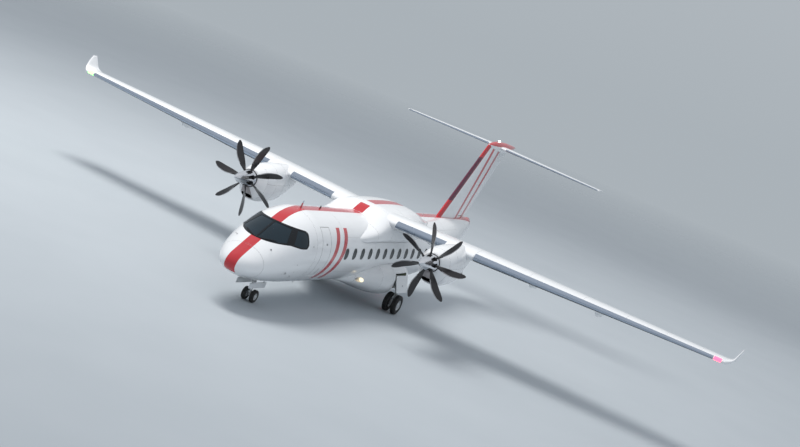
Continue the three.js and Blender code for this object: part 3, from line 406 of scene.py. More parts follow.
def build(points, faces, material, sharp=35):
    """A mesh object with merged points and faces pointing out, smooth up to an angle."""
    mesh = bpy.data.meshes.new("piece")
    mesh.from_pydata(array(points, float).reshape(-1, 3).tolist(), [], [list(f) for f in faces])
    form = bmesh.new()
    form.from_mesh(mesh)
    bmesh.ops.remove_doubles(form, verts=form.verts, dist=1e-6)
    bmesh.ops.dissolve_degenerate(form, edges=form.edges, dist=1e-7)
    bmesh.ops.recalc_face_normals(form, faces=form.faces)
    form.to_mesh(mesh)
    form.free()
    mesh.materials.append(material)
    return shade(placed("piece", mesh), sharp)


def loft(rings, material, sharp=35):
    """A closed skin through rings that have the same number of points."""
    rings = array(rings, float)
    rows, count = rings.shape[:2]
    a = np.arange(count * (rows - 1)).reshape(rows - 1, count)
    b = np.roll(a, -1, axis=1)
    faces = stack([a, b, b + count, a + count], -1).reshape(-1, 4).tolist()
    faces += [range(count), range(count * (rows - 1), count * rows)]
    return build(rings, faces, material, sharp)


def body_rings(table, step=0.12, sides=96, centre=0.0, corner=1.0, root=False):
    """Rings of half ellipses through a table of station, top, bottom, half width and middle."""
    table = array(table)
    start = table[0, 0]
    keys = np.sqrt(table[:, 0] - start) if root else table[:, 0]
    size = np.sqrt(step) / 6 if root else step
    along = linspace(keys[0], keys[-1], int((keys[-1] - keys[0]) / size) + 2)
    top, bottom, half, middle = (curve(keys, table[:, k])(along)[:, None] for k in range(1, 5))
    station = (start + along**2 if root else along)[:, None]
    out, up = (np.sign(v) * abs(v) ** corner for v in (cos(turns_of(sides)), sin(turns_of(sides))))
    rise = np.where(up > 0, top - middle, middle - bottom)
    return at(centre + half * out, station, middle + rise * up)


print("a ring starts at the angles", turns_of(96)[:3].round(4))

# %% [markdown]
# ## Cutting
# Doors, windows and hatches are cut with booleans. A cut leaves long thin triangles, whose averaged
# normals would show as dents in glossy paint, so afterwards each corner on the skin takes its normal from
# the uncut shape.

# %% Cutting and shading
SKIN_REACH = 0.2  # how far from a skin a face still takes its shading


def settle(target):
    """Turns the result of an object's modifiers into its plain mesh."""
    mesh = bpy.data.meshes.new_from_object(target.evaluated_get(bpy.context.evaluated_depsgraph_get()))
    target.modifiers.clear()
    old, target.data = target.data, mesh
    bpy.data.meshes.remove(old)
    return target


def discard(*objects):
    for o in objects:
        mesh = o.data
        bpy.data.objects.remove(o)
        bpy.data.meshes.remove(mesh)


def cut(target, cutter, operation="DIFFERENCE", keep=False):
    """Applies a boolean. The cutter's own material comes with its faces."""
    step = target.modifiers.new("cut", "BOOLEAN")
    step.operation, step.object, step.solver, step.material_mode = operation, cutter, "MANIFOLD", "TRANSFER"
    settle(target)
    if not keep:
        discard(cutter)
    return target


def read(items, key, width=3, kind=float):
    values = np.zeros(len(items) * width, kind)
    items.foreach_get(key, values)
    return values.reshape(-1, width)


def copy(source, grow=0.0, material=None):
    made = placed("piece", source.data.copy())
    mesh = made.data
    if grow:
        points = read(mesh.vertices, "co") + read(mesh.vertex_normals, "vector") * grow
        mesh.vertices.foreach_set("co", points.ravel())
        mesh.update()
    if material:
        mesh.materials.clear()
        mesh.materials.append(material)
    return made


# %% Smooth normals for a cut skin
def like_skin(made, master):
    """Gives the faces that lie along the master's skin its smooth normals."""
    source, mesh = master.data, shade(made).data
    source.calc_loop_triangles()
    corners, normals = read(source.vertices, "co"), read(source.vertex_normals, "vector")
    tris = read(source.loop_triangles, "vertices", 3, int)
    tree = BVHTree.FromPolygons(corners.tolist(), tris.tolist())
    points = read(mesh.vertices, "co")
    found = [tree.find_nearest(p, SKIN_REACH * 2) for p in points.tolist()]
    near = array([f[0] if f[0] else p for f, p in zip(found, points)])
    index = array([f[2] if f[0] else -1 for f in found])
    a, b, c = (corners[tris[index, k]] for k in range(3))
    v0, v1, v2 = b - a, c - a, near - a
    d00, d01, d11, d20, d21 = ((p * q).sum(1) for p, q in ((v0, v0), (v0, v1), (v1, v1), (v2, v0), (v2, v1)))
    area = np.maximum(d00 * d11 - d01 * d01, 1e-20)
    v, w = (d11 * d20 - d01 * d21) / area, (d00 * d21 - d01 * d20) / area
    smooth = sum(s[:, None] * normals[tris[index, k]] for k, s in enumerate((1 - v - w, v, w)))
    smooth /= np.maximum(norm(smooth, axis=1, keepdims=True), 1e-9)
    usable = (index >= 0) & (norm(near - points, axis=1) < SKIN_REACH)

    loops = read(mesh.loops, "vertex_index", 1, int)[:, 0]
    face = np.repeat(read(mesh.polygons, "normal"), read(mesh.polygons, "loop_total", 1, int)[:, 0], axis=0)
    own = read(mesh.corner_normals, "vector")
    facing = (face * smooth[loops]).sum(1)[:, None]
    along = usable[loops, None] & (abs(facing) > 0.86)
    mesh.normals_split_custom_set(np.where(along, smooth[loops] * np.sign(facing), own).tolist())
    return made


# %% Outlines and blocks
def slab(outline, x0, x1, material):
    """An outline of stations and heights, extruded across the aircraft."""
    s, h = array(outline).T
    return loft([at(x0, s, h), at(x1, s, h)], material)


def plan(outline, low, high, material):
    """A block that stands on an outline of x and station."""
    x, s = array(outline).T
    return loft([at(x, s, low), at(x, s, high)], material)


def box(centre, half, front, back, low, high, material):
    outline = [(centre + a * half, s) for a, s in ((-1, front), (1, front), (1, back), (-1, back))]
    return plan(outline, low, high, material)


def rounded(outline, radius):
    points, made = array(outline, float), []
    for i, corner in enumerate(points):
        legs = [points[i - 1] - corner, points[(i + 1) % len(points)] - corner]
        ends = [corner + leg * min(radius / norm(leg), 0.48) for leg in legs]
        for t in linspace(0, 1, 7):
            made.append((1 - t) ** 2 * ends[0] + 2 * t * (1 - t) * corner + t**2 * ends[1])
    return array(made)


def inset(outline, distance):
    points = array(outline)
    x, y = points.T
    if (x * np.roll(y, -1) - np.roll(x, -1) * y).sum() < 0:
        distance = -distance
    edge = np.roll(points, -1, axis=0) - np.roll(points, 1, axis=0)
    normal = stack([-edge[:, 1], edge[:, 0]], 1)
    return points + distance * normal / norm(normal, axis=1, keepdims=True)


print("points of a square with rounded corners:", len(rounded([(0, 0), (1, 0), (1, 1), (0, 1)], 0.1)))


# %% Joining pieces and fitting them to their bodies
def joined(*objects):
    first = objects[0]
    chosen = dict.fromkeys(("selected_objects", "selected_editable_objects"), list(objects))
    with bpy.context.temp_override(object=first, active_object=first, **chosen):
        bpy.ops.object.join()
    return first


def fit(name, pieces, body, slot=None, *nodes):
    """Joins and names a piece, lets it ride on its body, and hides the CAD nodes it stands for."""
    piece = joined(*pieces) if isinstance(pieces, list) else pieces
    piece.name = piece.data.name = name
    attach(piece, body)
    if nodes:
        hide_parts(*nodes)
    print(f"{name}: {len(piece.data.polygons)} faces on {body}")
    return piece

# %% [markdown]
# ## The fuselage skin
# A pressure cabin is a tube, blended into a nose that drops low in front of the cockpit and a tail that
# sweeps up. Towards the tip the rings are spaced by the square root of the station: that makes the nose
# round instead of pointed.

# %% The fuselage skin
BODY = [  # station, top, bottom, half width, middle
    (0, -0.76, -0.76, 0, -0.76),
    (0.06, -0.58, -0.92, 0.27, -0.76),
    (0.2, -0.43, -1.02, 0.46, -0.74),
    (0.5, -0.24, -1.125, 0.7, -0.69),
    (1.17, 0.18, -1.24, 1, -0.52),
    (2.27, 0.85, -1.33, 1.25, -0.24),
    (2.8, 1.13, -1.355, 1.315, -0.13),
    (3.4, 1.295, -1.365, 1.355, -0.05),
    (4, 1.365, -1.365, 1.365, 0),
    (14.9, 1.365, -1.365, 1.365, 0),
    (17.4, 1.365, -1.1, 1.24, 0.14),
    (19.9, 1.365, -0.55, 0.88, 0.44),
    (21.9, 1.37, 0.05, 0.45, 0.74),
    (23.3, 1.37, 0.55, 0.1, 0.96),
    (23.38, 1.2, 0.72, 0.02, 0.96),
]
BODY_RADIUS, SKIN_SIDES = 1.365, 128
skin = loft(body_rings(BODY, 0.05, SKIN_SIDES, root=True), body_white)
fuselage = copy(skin)
print("fuselage skin faces:", len(fuselage.data.polygons))

# %% [markdown]
# ## Rows by geometry nodes
# Windows, fasteners and wicks repeat along lines. Each is one small node tree with named inputs, so a row
# is changed with a number instead of by moving meshes. Its result is kept as a plain mesh, because the
# pieces ride on moving bodies.

# %% A helper for geometry nodes
def tree_with(name, **inputs):
    """A node tree with named inputs: its network, its inputs, and what ends it."""
    tree = bpy.data.node_groups.new(name, "GeometryNodeTree")
    kinds = {int: "Int", float: "Float", tuple: "Vector"}
    for way in ("OUTPUT", "INPUT"):
        tree.interface.new_socket("Geometry", in_out=way, socket_type="NodeSocketGeometry")
    for key, value in (inputs | {"Finish": "Material"}).items():
        named = isinstance(value, str)
        kind = value if named else kinds[type(value)]
        socket = tree.interface.new_socket(key, in_out="INPUT", socket_type=f"NodeSocket{kind}")
        if not named:
            socket.default_value = value
    net = Network(tree)
    given = tree.nodes.new("NodeGroupInput").outputs

    def end(geometry):
        real = net.geo("RealizeInstances", {0: geometry})
        done = net.geo("SetMaterial", {0: real, "Material": given["Finish"]})
        tree.links.new(done, tree.nodes.new("NodeGroupOutput").inputs[0])
        return tree

    return net, given, end


def grown(tree, finish, **values):
    """The tree's result as a plain mesh object."""
    holder = placed("piece", bpy.data.meshes.new("piece"))
    step = holder.modifiers.new("rows", "NODES")
    step.node_group = tree
    sockets = {i.name: i.identifier for i in tree.interface.items_tree if i.in_out == "INPUT"}
    for key, value in (values | {"Finish": finish}).items():
        step[sockets[key]] = value.tolist() if isinstance(value, np.ndarray) else value
    return settle(holder)


# %% The tree for a row of windows
net, given, end = tree_with(
    "window_row", Width=0.36, Height=0.45, Corner=0.165, Inset=0.0,
    First=(0.9, 0.0, 0.0), Depth=1.1, Pitch=0.785, Count=15,
)
smaller = net.math("MULTIPLY", given["Inset"], 2.0)
size = {side: net.math("SUBTRACT", given[side], smaller) for side in ("Width", "Height")}
corner = net.math("SUBTRACT", given["Corner"], given["Inset"])
outline = net.geo("CurvePrimitiveQuadrilateral", size)
outline = net.geo("FilletCurve", {0: outline, "Count": 7, "Radius": corner}, mode="POLY")
path = net.geo("CurvePrimitiveLine", {"Start": (0, 0, 0), "End": net.add("CombineXYZ", {0: given["Depth"]})})
path = net.geo("SetCurveNormal", {0: path}, mode="Z_UP")
prism = net.geo("CurveToMesh", {"Curve": path, "Profile Curve": outline, "Fill Caps": True})
pitch = net.add("CombineXYZ", {1: given["Pitch"]})
line = net.geo("MeshLine", {"Count": given["Count"], "Start Location": given["First"], "Offset": pitch})
window_row = end(net.geo("InstanceOnPoints", {"Points": line, "Instance": prism}))
print("inputs:", [i.name for i in window_row.interface.items_tree if i.in_out == "INPUT"])

# %% [markdown]
# ## Openings and the panels that fill them
# Every pane and door is cut from the fuselage's own skin, so it follows the curve exactly. A panel
# is the part of a cutting block that lies between two offset skins. The opening is the same block,
# cut a little deeper.

# %% Offset skins
OFFSETS = {  # how far each one lies outside the skin
    "proud": 0.0015, "flush": -0.0001, "seam": -0.003, "pane": -0.007, "back": -0.014,
    "visor": -0.035, "door": -0.08, "jamb": -0.096, "cabin": -0.45,
}
inner = {name: copy(skin, distance, liner) for name, distance in OFFSETS.items()}


def panel(blocks, outer, depth, material):
    """The layer of the blocks between two offset skins, with the finish on its outside."""
    made = copy(blocks, material=liner)
    cut(made, copy(inner[outer], material=material), "INTERSECT")
    cut(made, inner[depth], keep=True)
    discard(blocks)
    return made


def opening(target, blocks, floor, keep=False):
    """Cuts the blocks out of the target, down to an offset skin."""
    hole = copy(blocks) if keep else blocks
    cut(hole, floor, keep=True)
    cut(target, hole)


print("offset skins:", len(inner))

# %% [markdown]
# ## The cockpit glass
# The wide black visor is one shape in the side view, with the panes set into it. Each pane is cut with its
# outline from the front or the side, and sits a few millimetres deep in its seal.

# %% The cockpit glass
VISOR = [
    (0.95, 0.85), (0.95, 0.195), (1.23, 0.205), (2.01, 0.295), (2.5, 0.255), (2.84, 0.275),
    (2.97, 0.4), (3.035, 0.77), (2.94, 0.83), (2.27, 0.85),
]
FRONT_PANE = [
    (0.035, 0.245), (0.16, 0.245), (0.48, 0.262), (0.72, 0.292), (0.868, 0.338),
    (0.635, 0.78), (0.3, 0.805), (0.035, 0.808),
]
SIDE_PANE = [(2.58, 0.79), (2.9, 0.785), (2.975, 0.73), (2.93, 0.435), (2.82, 0.322), (2.5, 0.3), (2.17, 0.338)]

visor_block = slab(rounded(VISOR, 0.05), -2, 2, seal)
opening(fuselage, visor_block, inner["visor"], keep=True)
visor = panel(visor_block, "proud", "visor", mask_black)
panes = []
for side in SIDES.values():
    x, height = rounded(FRONT_PANE, 0.035).T
    front = loft([at(side * x, station, height) for station in (0.5, 3.3)], seal)
    for block in (front, slab(rounded(SIDE_PANE, 0.05), side * 0.3, side * 2, seal)):
        opening(visor, block, inner["back"], keep=True)
        panes.append(panel(block, "pane", "back", glass))
like_skin(visor, skin)
print("visor panes:", len(panes), "visor faces:", len(visor.data.polygons))

# %% [markdown]
# ## The cabin windows
# Fifteen windows a side stand between the frames, all at one height. Two are missing on the right, where
# the service door has a window of its own. A window is three layers: a light metal ring, a dark seal, and
# the pane a little deeper.

# %% The cabin windows
WINDOW_FIRST, WINDOW_PITCH, WINDOW_HEIGHT = 6.35, 0.785, 0.135
ROWS = [("left", 0, 15), ("right", 0, 10), ("right", 12, 3)]  # side, first place, count
LAYERS = [(0.0, "proud", window_ring), (0.008, "seam", seal), (0.026, "pane", cabin_glass)]


def window_blocks(side, station, count, inset_by, material):
    place = at(0.9 if side == "left" else -2.0, station, WINDOW_HEIGHT)
    return grown(window_row, material, Inset=inset_by, First=place, Count=count, Pitch=WINDOW_PITCH)


def windows_in(target, *row):
    """Cuts a row of windows into the target, and returns its ring, seal and pane."""
    opening(target, window_blocks(*row, 0.0, seal), inner["back"])
    made = []
    for i, (inset_by, outer, material) in enumerate(LAYERS):
        layer = panel(window_blocks(*row, inset_by, material), outer, "back", material)
        for smaller, *_ in LAYERS[i + 1 : i + 2]:
            cut(layer, window_blocks(*row, smaller, material))
        made.append(layer)
    return made


rows = [windows_in(fuselage, side, WINDOW_FIRST + first * WINDOW_PITCH, count) for side, first, count in ROWS]
cabin_windows = [like_skin(joined(*layers), skin) for layers in zip(*rows)]
print("window faces:", [len(layer.data.polygons) for layer in cabin_windows])

# %% [markdown]
# ## Doors
# The passenger door hangs from its lower edge and lets down as a stair. The other two swing up. A door's
# upper and lower edges point at the fuselage axis like the cuts of a slice of cake, so it swings out
# without touching its frame.

# %% Doors
GAP = 0.008
DOORS = {  # side, front, back, low, high
    "passenger_door": (1, 4.0, 4.75, -0.8, 1.0),
    "baggage_door": (-1, 4.3, 5.35, -0.45, 0.85),
    "service_door": (-1, 14.2, 14.85, -0.55, 0.9),
}
HINGES = {joint["child"]: joint["pos_m"] for joint in frame["joints"]}  # from the CAD model
KNUCKLE, KNUCKLE_SPACE, KNUCKLE_PAST = 0.013, 0.02, 0.02
STEPS_IN = [(-0.01, "seam", seal), (0.0, "jamb", zinc_green), (0.05, "cabin", liner)]  # gap, depth, finish


def wedge(side, front, back, low, high, gap, material):
    """The slice of the fuselage that a door fills, less a gap on every side."""
    reach, turn = 2 * BODY_RADIUS, gap / BODY_RADIUS
    angles = (asin(low / BODY_RADIUS) + turn, asin(high / BODY_RADIUS) - turn)
    out = [0.0] + [side * reach * cos(a) for a in angles]
    up = [0.0] + [reach * sin(a) for a in angles]
    return loft([at(out, front + gap, up), at(out, back - gap, up)], material)


def rod(start, finish, radius, material, end_radius=None, sides=24):
    start, finish = Vector(start), Vector(finish)
    turn = (finish - start).to_track_quat("Z", "Y").to_matrix()
    angles = turns_of(sides)
    circle = stack([cos(angles), sin(angles), 0 * angles], -1) @ array(turn).T
    end_radius = radius if end_radius is None else end_radius
    return loft([array(start) + radius * circle, array(finish) + end_radius * circle], material)


doors = {}
for name, size in DOORS.items():
    for gap, depth, material in STEPS_IN:
        opening(fuselage, wedge(*size, gap, material), inner[depth])
    door = doors[name] = panel(wedge(*size, GAP, white), "flush", "door", body_white)
    x, _, height = HINGES[name]
    ends = at(x, (size[1] + 2 * GAP, size[2] - 2 * GAP), height - AXIS_HEIGHT)
    point = lambda share: ends[0] + share * (ends[1] - ends[0])
    space = lambda a, b: rod(point(a), point(b), KNUCKLE_SPACE, seal)
    cut(fuselage, space(-KNUCKLE_PAST, 1 + KNUCKLE_PAST))
    for i, (a, b) in enumerate(((0.0, 0.313), (1 / 3, 2 / 3), (0.687, 1.0))):
        bar = rod(point(a), point(b), KNUCKLE, white)
        if i == 1:  # the middle knuckle belongs to the door
            cut(door, bar, "UNION")
        else:
            cut(door, space(a - KNUCKLE_PAST * (i == 0), b + KNUCKLE_PAST * (i == 2)))
            cut(fuselage, bar, "UNION")
print("doors:", {name: len(door.data.polygons) for name, door in doors.items()})

# %% The window and the handles of the doors
SERVICE_WINDOW = 14.525
layers = windows_in(doors["service_door"], "right", SERVICE_WINDOW, 1)
service_window = [like_skin(layer, skin) for layer in layers]

HANDLES = [  # door, station, height, width, height of the recess
    ("passenger_door", 4.435, -0.555, 0.05, 0.25),
    ("passenger_door", 4.375, 0.48, 0.11, 0.06),
    ("baggage_door", 4.825, -0.25, 0.18, 0.07),
    ("service_door", 14.7, -0.15, 0.06, 0.18),
]
SQUARE = array([(-1, -1), (1, -1), (1, 1), (-1, 1)])
handles = {name: [] for name in DOORS}
for name, station, height, width, tall in HANDLES:
    side = DOORS[name][0]
    shape = SQUARE * (width / 2, tall / 2) + (station, height)
    opening(doors[name], slab(rounded(shape, 0.02), side * 0.6, side * 2, seal), inner["back"])
    bar = slab(rounded(inset(shape, 0.012), 0.012), side * 0.6, side * 2, steel)
    handles[name].append(panel(bar, "seam", "back", steel))
for door in doors.values():
    like_skin(door, skin)
print("handles:", len(HANDLES))

# %% [markdown]
# ## The wing
# A wing section is thickest a third of the way back and ends in a thin edge, by the well known four-digit
# formula. Its points crowd towards the nose, where the curvature is. Sections between those of the table
# are straight averages, as on a real wing skinned with flat sheets.

# %% Wing sections
WING = [  # x, leading edge station, chord, thickness, height
    (0, 9.65, 2.95, 0.5, 1.36),
    (4.7, 10.238, 2.95, 0.47, 1.452),
    (14.76, 11.495, 1.45, 0.2, 1.648),
]
CAMBER, HINGE_AT = 0.02, 0.74
ROUND = (1 - cos(linspace(0, pi, 30))) / 2
join_up = np.concatenate


def fullness(f):
    """Half the thickness of a streamlined section, as a share of its full thickness."""
    return 5 * (0.2969 * np.sqrt(f) - 0.126 * f - 0.3516 * f**2 + 0.2843 * f**3 - 0.1015 * f**4)


class Section:
    """A section of a wing or tail: its edge, and its upper and lower surfaces."""

    def __init__(self, row, camber=0.0):
        self.leading, self.chord, self.thick, self.height = row
        self.camber = camber

    def station(self, f):
        return self.leading + f * self.chord

    def bend(self, f):
        return self.camber * self.chord * 4 * f * (1 - f)

    def half(self, f):
        return self.thick * fullness(f)

    def around(self, grow=0.0, first=1.0, last=1.0):
        """From a share of the chord on the lower surface, round the nose, to one on the upper."""
        low, high = ROUND[ROUND < first], ROUND[ROUND < last]
        f = join_up([[first], low[::-1], high[1:], [last]])
        sign = join_up([-np.ones(len(low) + 1), np.ones(len(high))])
        return self.station(f) - grow * (f < 0.002), self.bend(f) + sign * (self.half(f) + grow)

    def behind(self, front, nose, share, start=0.0):
        """A movable surface's outline: it has a round nose, then follows the surfaces aft."""
        centre = front + nose
        f0 = (centre - self.leading) / self.chord
        turn = linspace(pi / 2, 3 * pi / 2, 13)
        rise = share * self.half(f0)
        f = linspace(f0 + start / self.chord, 1, 14)
        bend, half = self.bend(f), self.half(f)
        s = join_up([centre + nose * cos(turn), self.station(f), self.station(f[::-1])])
        return s, join_up([self.bend(f0) + rise * sin(turn), bend - half, (bend + half)[::-1]])


print("half the thickness, a third of the way back:", fullness(1 / 3))


# %% The wing
def section_of(table, place, camber=0.0):
    """The section at a place between the rows of a table."""
    table = array(table)
    return Section([interp(place, table[:, 0], table[:, k]) for k in range(1, 5)], camber)


def wing_at(x):
    return section_of(WING, x, CAMBER)


def span_rings(section_at, places, side, outline=Section.around):
    """Rings of a wing-like piece, one at each x, from an outline of stations and rises."""
    rings = []
    for x in places:
        section = section_at(x)
        station, rise = outline(section)
        rings.append(at(side * x, station, section.height + rise))
    return rings


def whole_span(section_at, places):
    return [ring for x in places for ring in span_rings(section_at, [abs(x)], np.sign(x) or 1)]


places = join_up([linspace(-14.76, -4.7, 24), linspace(-4.2, 4.2, 15), linspace(4.7, 14.76, 24)])
wing_skin = loft(whole_span(wing_at, places), white)
wing = copy(wing_skin)
print("wing faces:", len(wing.data.polygons))

# %% [markdown]
# ## Flaps and their tracks
# A flap on a wing like this turns about a line well below the wing, so it moves back as it comes down.
# Streamlined fairings hide the hinges: the front half stays on the wing and the rear half moves with the
# flap.

# %% Flaps and their tracks
FLAPS = [("inner", 1.68, 3.38, (2.45,)), ("outer", 4.85, 10.7, (6.83, 9.62))]  # name, from, to, tracks
FLAP_GAP, FLAP_END, FLAP_NOSE = 0.016, 0.025, 0.045
TRACK_DROP, TRACK_BACK, TRACK_UNDER = 0.33, 0.82, 0.12
HUB, HUB_SPACE, LUG_HALF = 0.095, 0.107, 0.015
WING_BLOCK = (-1, 4)  # heights that hold all of the wing
TRACK_ROWS = [  # distance aft of the hinge, half width, top above the chord line, bottom above its lowest
    (-1.35, 0.008, -0.08, 0.33),
    (-1.25, 0.034, -0.045, 0.262),
    (-0.9, 0.07, 0, 0.06),
    (-0.3, 0.072, 0, 0),
    (0, 0.07, 0.02, 0),
    (0.45, 0.05, -0.01, 0.11),
    (0.74, 0.022, -0.058, 0.262),
    (0.8, 0.006, -0.082, 0.31),
]


def pivot(x, side):
    section = wing_at(x)
    return at(side * x, section.station(TRACK_BACK), section.height - TRACK_DROP)


def track_fairing(x, side, along):
    """The front part of a flap track's fairing, and the rear part that moves with the flap."""
    section, axis, middle = wing_at(x), pivot(x, side), side * x
    station, high = section.station(TRACK_BACK), section.height
    low = high - TRACK_DROP - HUB
    aft, half, top, bottom = array(TRACK_ROWS).T
    top, bottom = high + top, low + bottom
    table = stack([station + aft, top, bottom, half, (top + bottom) / 2], 1)
    front = loft(body_rings(table, 0.03, 32, middle, 0.85), white)

    def disc(radius, reach, material=white):
        return rod(axis - reach * along, axis + reach * along, radius, material, sides=48)

    rear = cut(copy(front), box(middle, 0.3, station, station + 2, -2, 4, white), "INTERSECT")
    cut(rear, cut(copy(front), disc(HUB, 0.3), "INTERSECT"), "UNION")
    cut(front, box(middle, 0.3, station - GAP, station + 2, -2, 4, zinc_green))
    cut(front, disc(HUB_SPACE, 0.3))
    above = section.station(HINGE_AT) - GAP
    cut(front, box(middle, 0.3, above, above + 3, high - TRACK_UNDER, 4, white))
    cut(rear, box(middle, LUG_HALF + 0.006, station - 0.115, station + 0.046, low - 0.02, high - 0.284, steel))
    lug = box(middle, LUG_HALF, station - 0.155, station, high - 0.37, high - 0.29, steel)
    cut(lug, disc(0.04, LUG_HALF), "UNION")
    return joined(front, lug), joined(rear, disc(0.012, 0.065, steel))


flaps, fronts = {}, []
for side_name, side in SIDES.items():
    for name, start, stop, tracks in FLAPS:
        axes = [pivot(x, side) for x in tracks]
        along = unit(axes[-1] - axes[0] if len(axes) > 1 else array((side, 0.0, 0.0)))
        bay = [(side * x, wing_at(x).station(HINGE_AT)) for x in (start, stop)]
        cut(wing, plan(bay + [(side * stop, BEHIND), (side * start, BEHIND)], *WING_BLOCK, zinc_green))
        outline = lambda s: s.behind(s.station(HINGE_AT) + FLAP_GAP, FLAP_NOSE, 0.985)
        span = linspace(start + FLAP_END, stop - FLAP_END, 12)
        parts = [loft(span_rings(wing_at, span, side, outline), white, 50)]
        for x in tracks:
            front, rear = track_fairing(x, side, along)
            fronts.append(front)
            parts.append(rear)
        flaps[f"flap_{name}_{side_name}"] = joined(*parts)
print("flaps:", list(flaps), "fixed track fairings:", len(fronts))

# %% [markdown]
# ## Ailerons
# An aileron hinges at its nose, a round bar that turns in a hollow of the wing. The hollow is cut with a
# slightly larger cone, so the slot stays even along the span. The elevators and the rudder hinge in the
# same way.

# %% Ailerons
NOSE_SHARE, COVE_CLEAR = 0.9, 0.006  # the nose as a share of the wing's thickness, and the gap round it
AILERON_SPAN = (10.96, 14.33)


def cone_between(ends, past, share, grow, material):
    (a, ra), (b, rb) = ends
    along = unit(b - a)
    return rod(a - past * along, b + past * along, share * ra + grow, material, share * rb + grow, sides=40)


def nosed(hinge):
    """The outline of a surface that hinges at a share of the chord."""

    def outline(section):
        radius = NOSE_SHARE * section.half(hinge)
        return section.behind(section.station(hinge) - radius, radius, NOSE_SHARE, 0.3 * radius)

    return outline


def hinged(target, section_at, hinge, span, side, rows, pin, block):
    """Cuts the bay of a hinged surface out of the wing or tail, and returns the surface with its pins."""
    ends, bay = [], []
    for x, past in zip(span, (-2 * GAP, 2 * GAP)):
        s = section_at(x)
        ends.append((at(side * x, s.station(hinge), s.height + s.bend(hinge)), s.half(hinge)))
        bay.append((side * (x + past), s.station(hinge)))
    bay += [(x, BEHIND) for x, _ in reversed(bay)]
    cut(target, plan(bay, *block, zinc_green))
    cut(target, cone_between(ends, 0.01, 1.0, COVE_CLEAR, zinc_green))
    surface = loft(span_rings(section_at, linspace(*span, rows), side, nosed(hinge)), white, 50)
    return joined(surface, cone_between(ends, 0.033, 0.0, pin, steel))


ailerons = {
    name: hinged(wing, wing_at, HINGE_AT, AILERON_SPAN, side, 10, 0.01, WING_BLOCK)
    for name, side in SIDES.items()
}
print("ailerons:", list(ailerons))

# %% [markdown]
# ## Winglets
# Near the tip the wing bends upward. Its sections stay square to the bent line, so the path is
# laid out first and each section turned to meet it. That keeps the nose of the winglet round.

# %% Winglets
WINGLET = [  # x, leading edge station, chord, thickness, height
    (14.76, 11.495, 1.45, 0.2, 1.648),
    (14.98, 11.78, 1.02, 0.12, 1.8),
    (15.08, 12.05, 0.62, 0.07, 2.08),
    (15.14, 12.3, 0.3, 0.04, 2.285),
]


def run_of(points):
    """The distance run along a path, at each of its points."""
    return join_up([[0], np.cumsum(norm(np.diff(points, axis=0), axis=1))])


table = array(WINGLET)
run = run_of(table[:, [0, 4]])
bent = [curve(run, table[:, k]) for k in range(5)]


def winglet_ring(t, side):
    x, leading, chord, thick, height = (b(t) for b in bent)
    ahead, behind = min(t + 0.01, run[-1]), max(t - 0.01, 0.0)
    slope = atan2(bent[4](ahead) - bent[4](behind), bent[0](ahead) - bent[0](behind)) * min(1.0, t / 0.12)
    tip = min(1.0, (run[-1] - t) / 0.03 + 0.25)
    station, rise = Section((leading, chord, thick * tip, 0), CAMBER * max(0, 1 - t / 0.2)).around()
    return at(side * (x - rise * sin(slope)), station, height + rise * cos(slope))


for name, side in SIDES.items():
    winglet = loft([winglet_ring(t, side) for t in linspace(0, run[-1], 26)], white)
    fit(f"winglet_{name}_shell", winglet, "airframe", "white_paint", f"winglet_{name}")

# %% [markdown]
# ## Joints in the wing's skin
# The sheets of a wing's skin meet in thin dark lines. A painted line would blur from close by, so
# each joint is a real groove, cut with a flat ring that follows the section.

# %% Wing joints, and the wing's shading
WING_JOINTS = [(4.7, 0.003, -0.003, 1, 1)]  # x, half width, depth, how far aft, and its core
WING_JOINTS += [(x, 0.002, -0.0025, 0.72, 0.73) for x in (6.9, 9.1, 10.83, 12.4, 13.8)]
for side in SIDES.values():
    for x, half, deep, *shares in WING_JOINTS:
        groove, core = (
            loft(span_rings(wing_at, (x - width, x + width), side, lambda s: s.around(grow, share, share)), seal)
            for width, grow, share in zip((half, 0.01), (0.02, deep), shares)
        )
        cut(groove, core)
        cut(wing, groove)
like_skin(wing, wing_skin)
discard(wing_skin)
fit("wing", wing, "airframe", "white_paint", "wing_center", "wing_left", "wing_right")
fit("flap_track_fairings", fronts, "airframe", "white_paint")
for name, piece in (flaps | {f"aileron_{name}": piece for name, piece in ailerons.items()}).items():
    fit(f"{name}_shell", shade(piece, 40), name, "white_paint", name)

# %% [markdown]
# ## Engine nacelles
# Each engine sits in a slim cowling under the wing. Its air enters through a flat slot in the chin, and
# the burnt gas leaves through a steel pipe under the tail. The front edge is rolled in over a few close
# sections, because a sharp edge would look like sheet paper.

# %% Engine nacelles
ENGINE_X, ENGINE_HEIGHT = 4.033, 0.967
NACELLE = [  # station, top, bottom, half width, middle
    (7.72, 1.33, 0.604, 0.366, 0.967),
    (7.724, 1.346, 0.586, 0.382, 0.967),
    (7.74, 1.36, 0.566, 0.394, 0.967),
    (7.79, 1.382, 0.505, 0.416, 0.962),
    (8, 1.46, 0.26, 0.5, 0.94),
    (8.2, 1.52, 0.14, 0.58, 0.91),
    (8.8, 1.62, 0.08, 0.63, 0.88),
    (9.6, 1.68, 0.11, 0.6, 0.9),
    (10.4, 1.69, 0.29, 0.46, 0.96),
    (11.2, 1.64, 0.6, 0.28, 1.06),
    (11.8, 1.52, 0.9, 0.155, 1.165),
    (11.9, 1.44, 1.02, 0.08, 1.2),
]
MOUTH_RADIUS, MOUTH_BACK = 0.348, 7.95
# The outline, as offset and height, of the grey sheet of painted shade on the chin.
SHADED_CHIN = [(-0.15, 0.64), (0.15, 0.64), (0.262, 0.3), (0.24, 0.18), (-0.24, 0.18), (-0.262, 0.3)]
SCOOP = [(-0.215, 0.38), (0.215, 0.38), (0.25, 0.27), (0.215, 0.205), (-0.215, 0.205), (-0.25, 0.27)]
SCOOP_FRONT, SCOOP_LEAN, SCOOP_TOP = 7.955, 0.85, 0.38  # its station at the top, how far it leans back
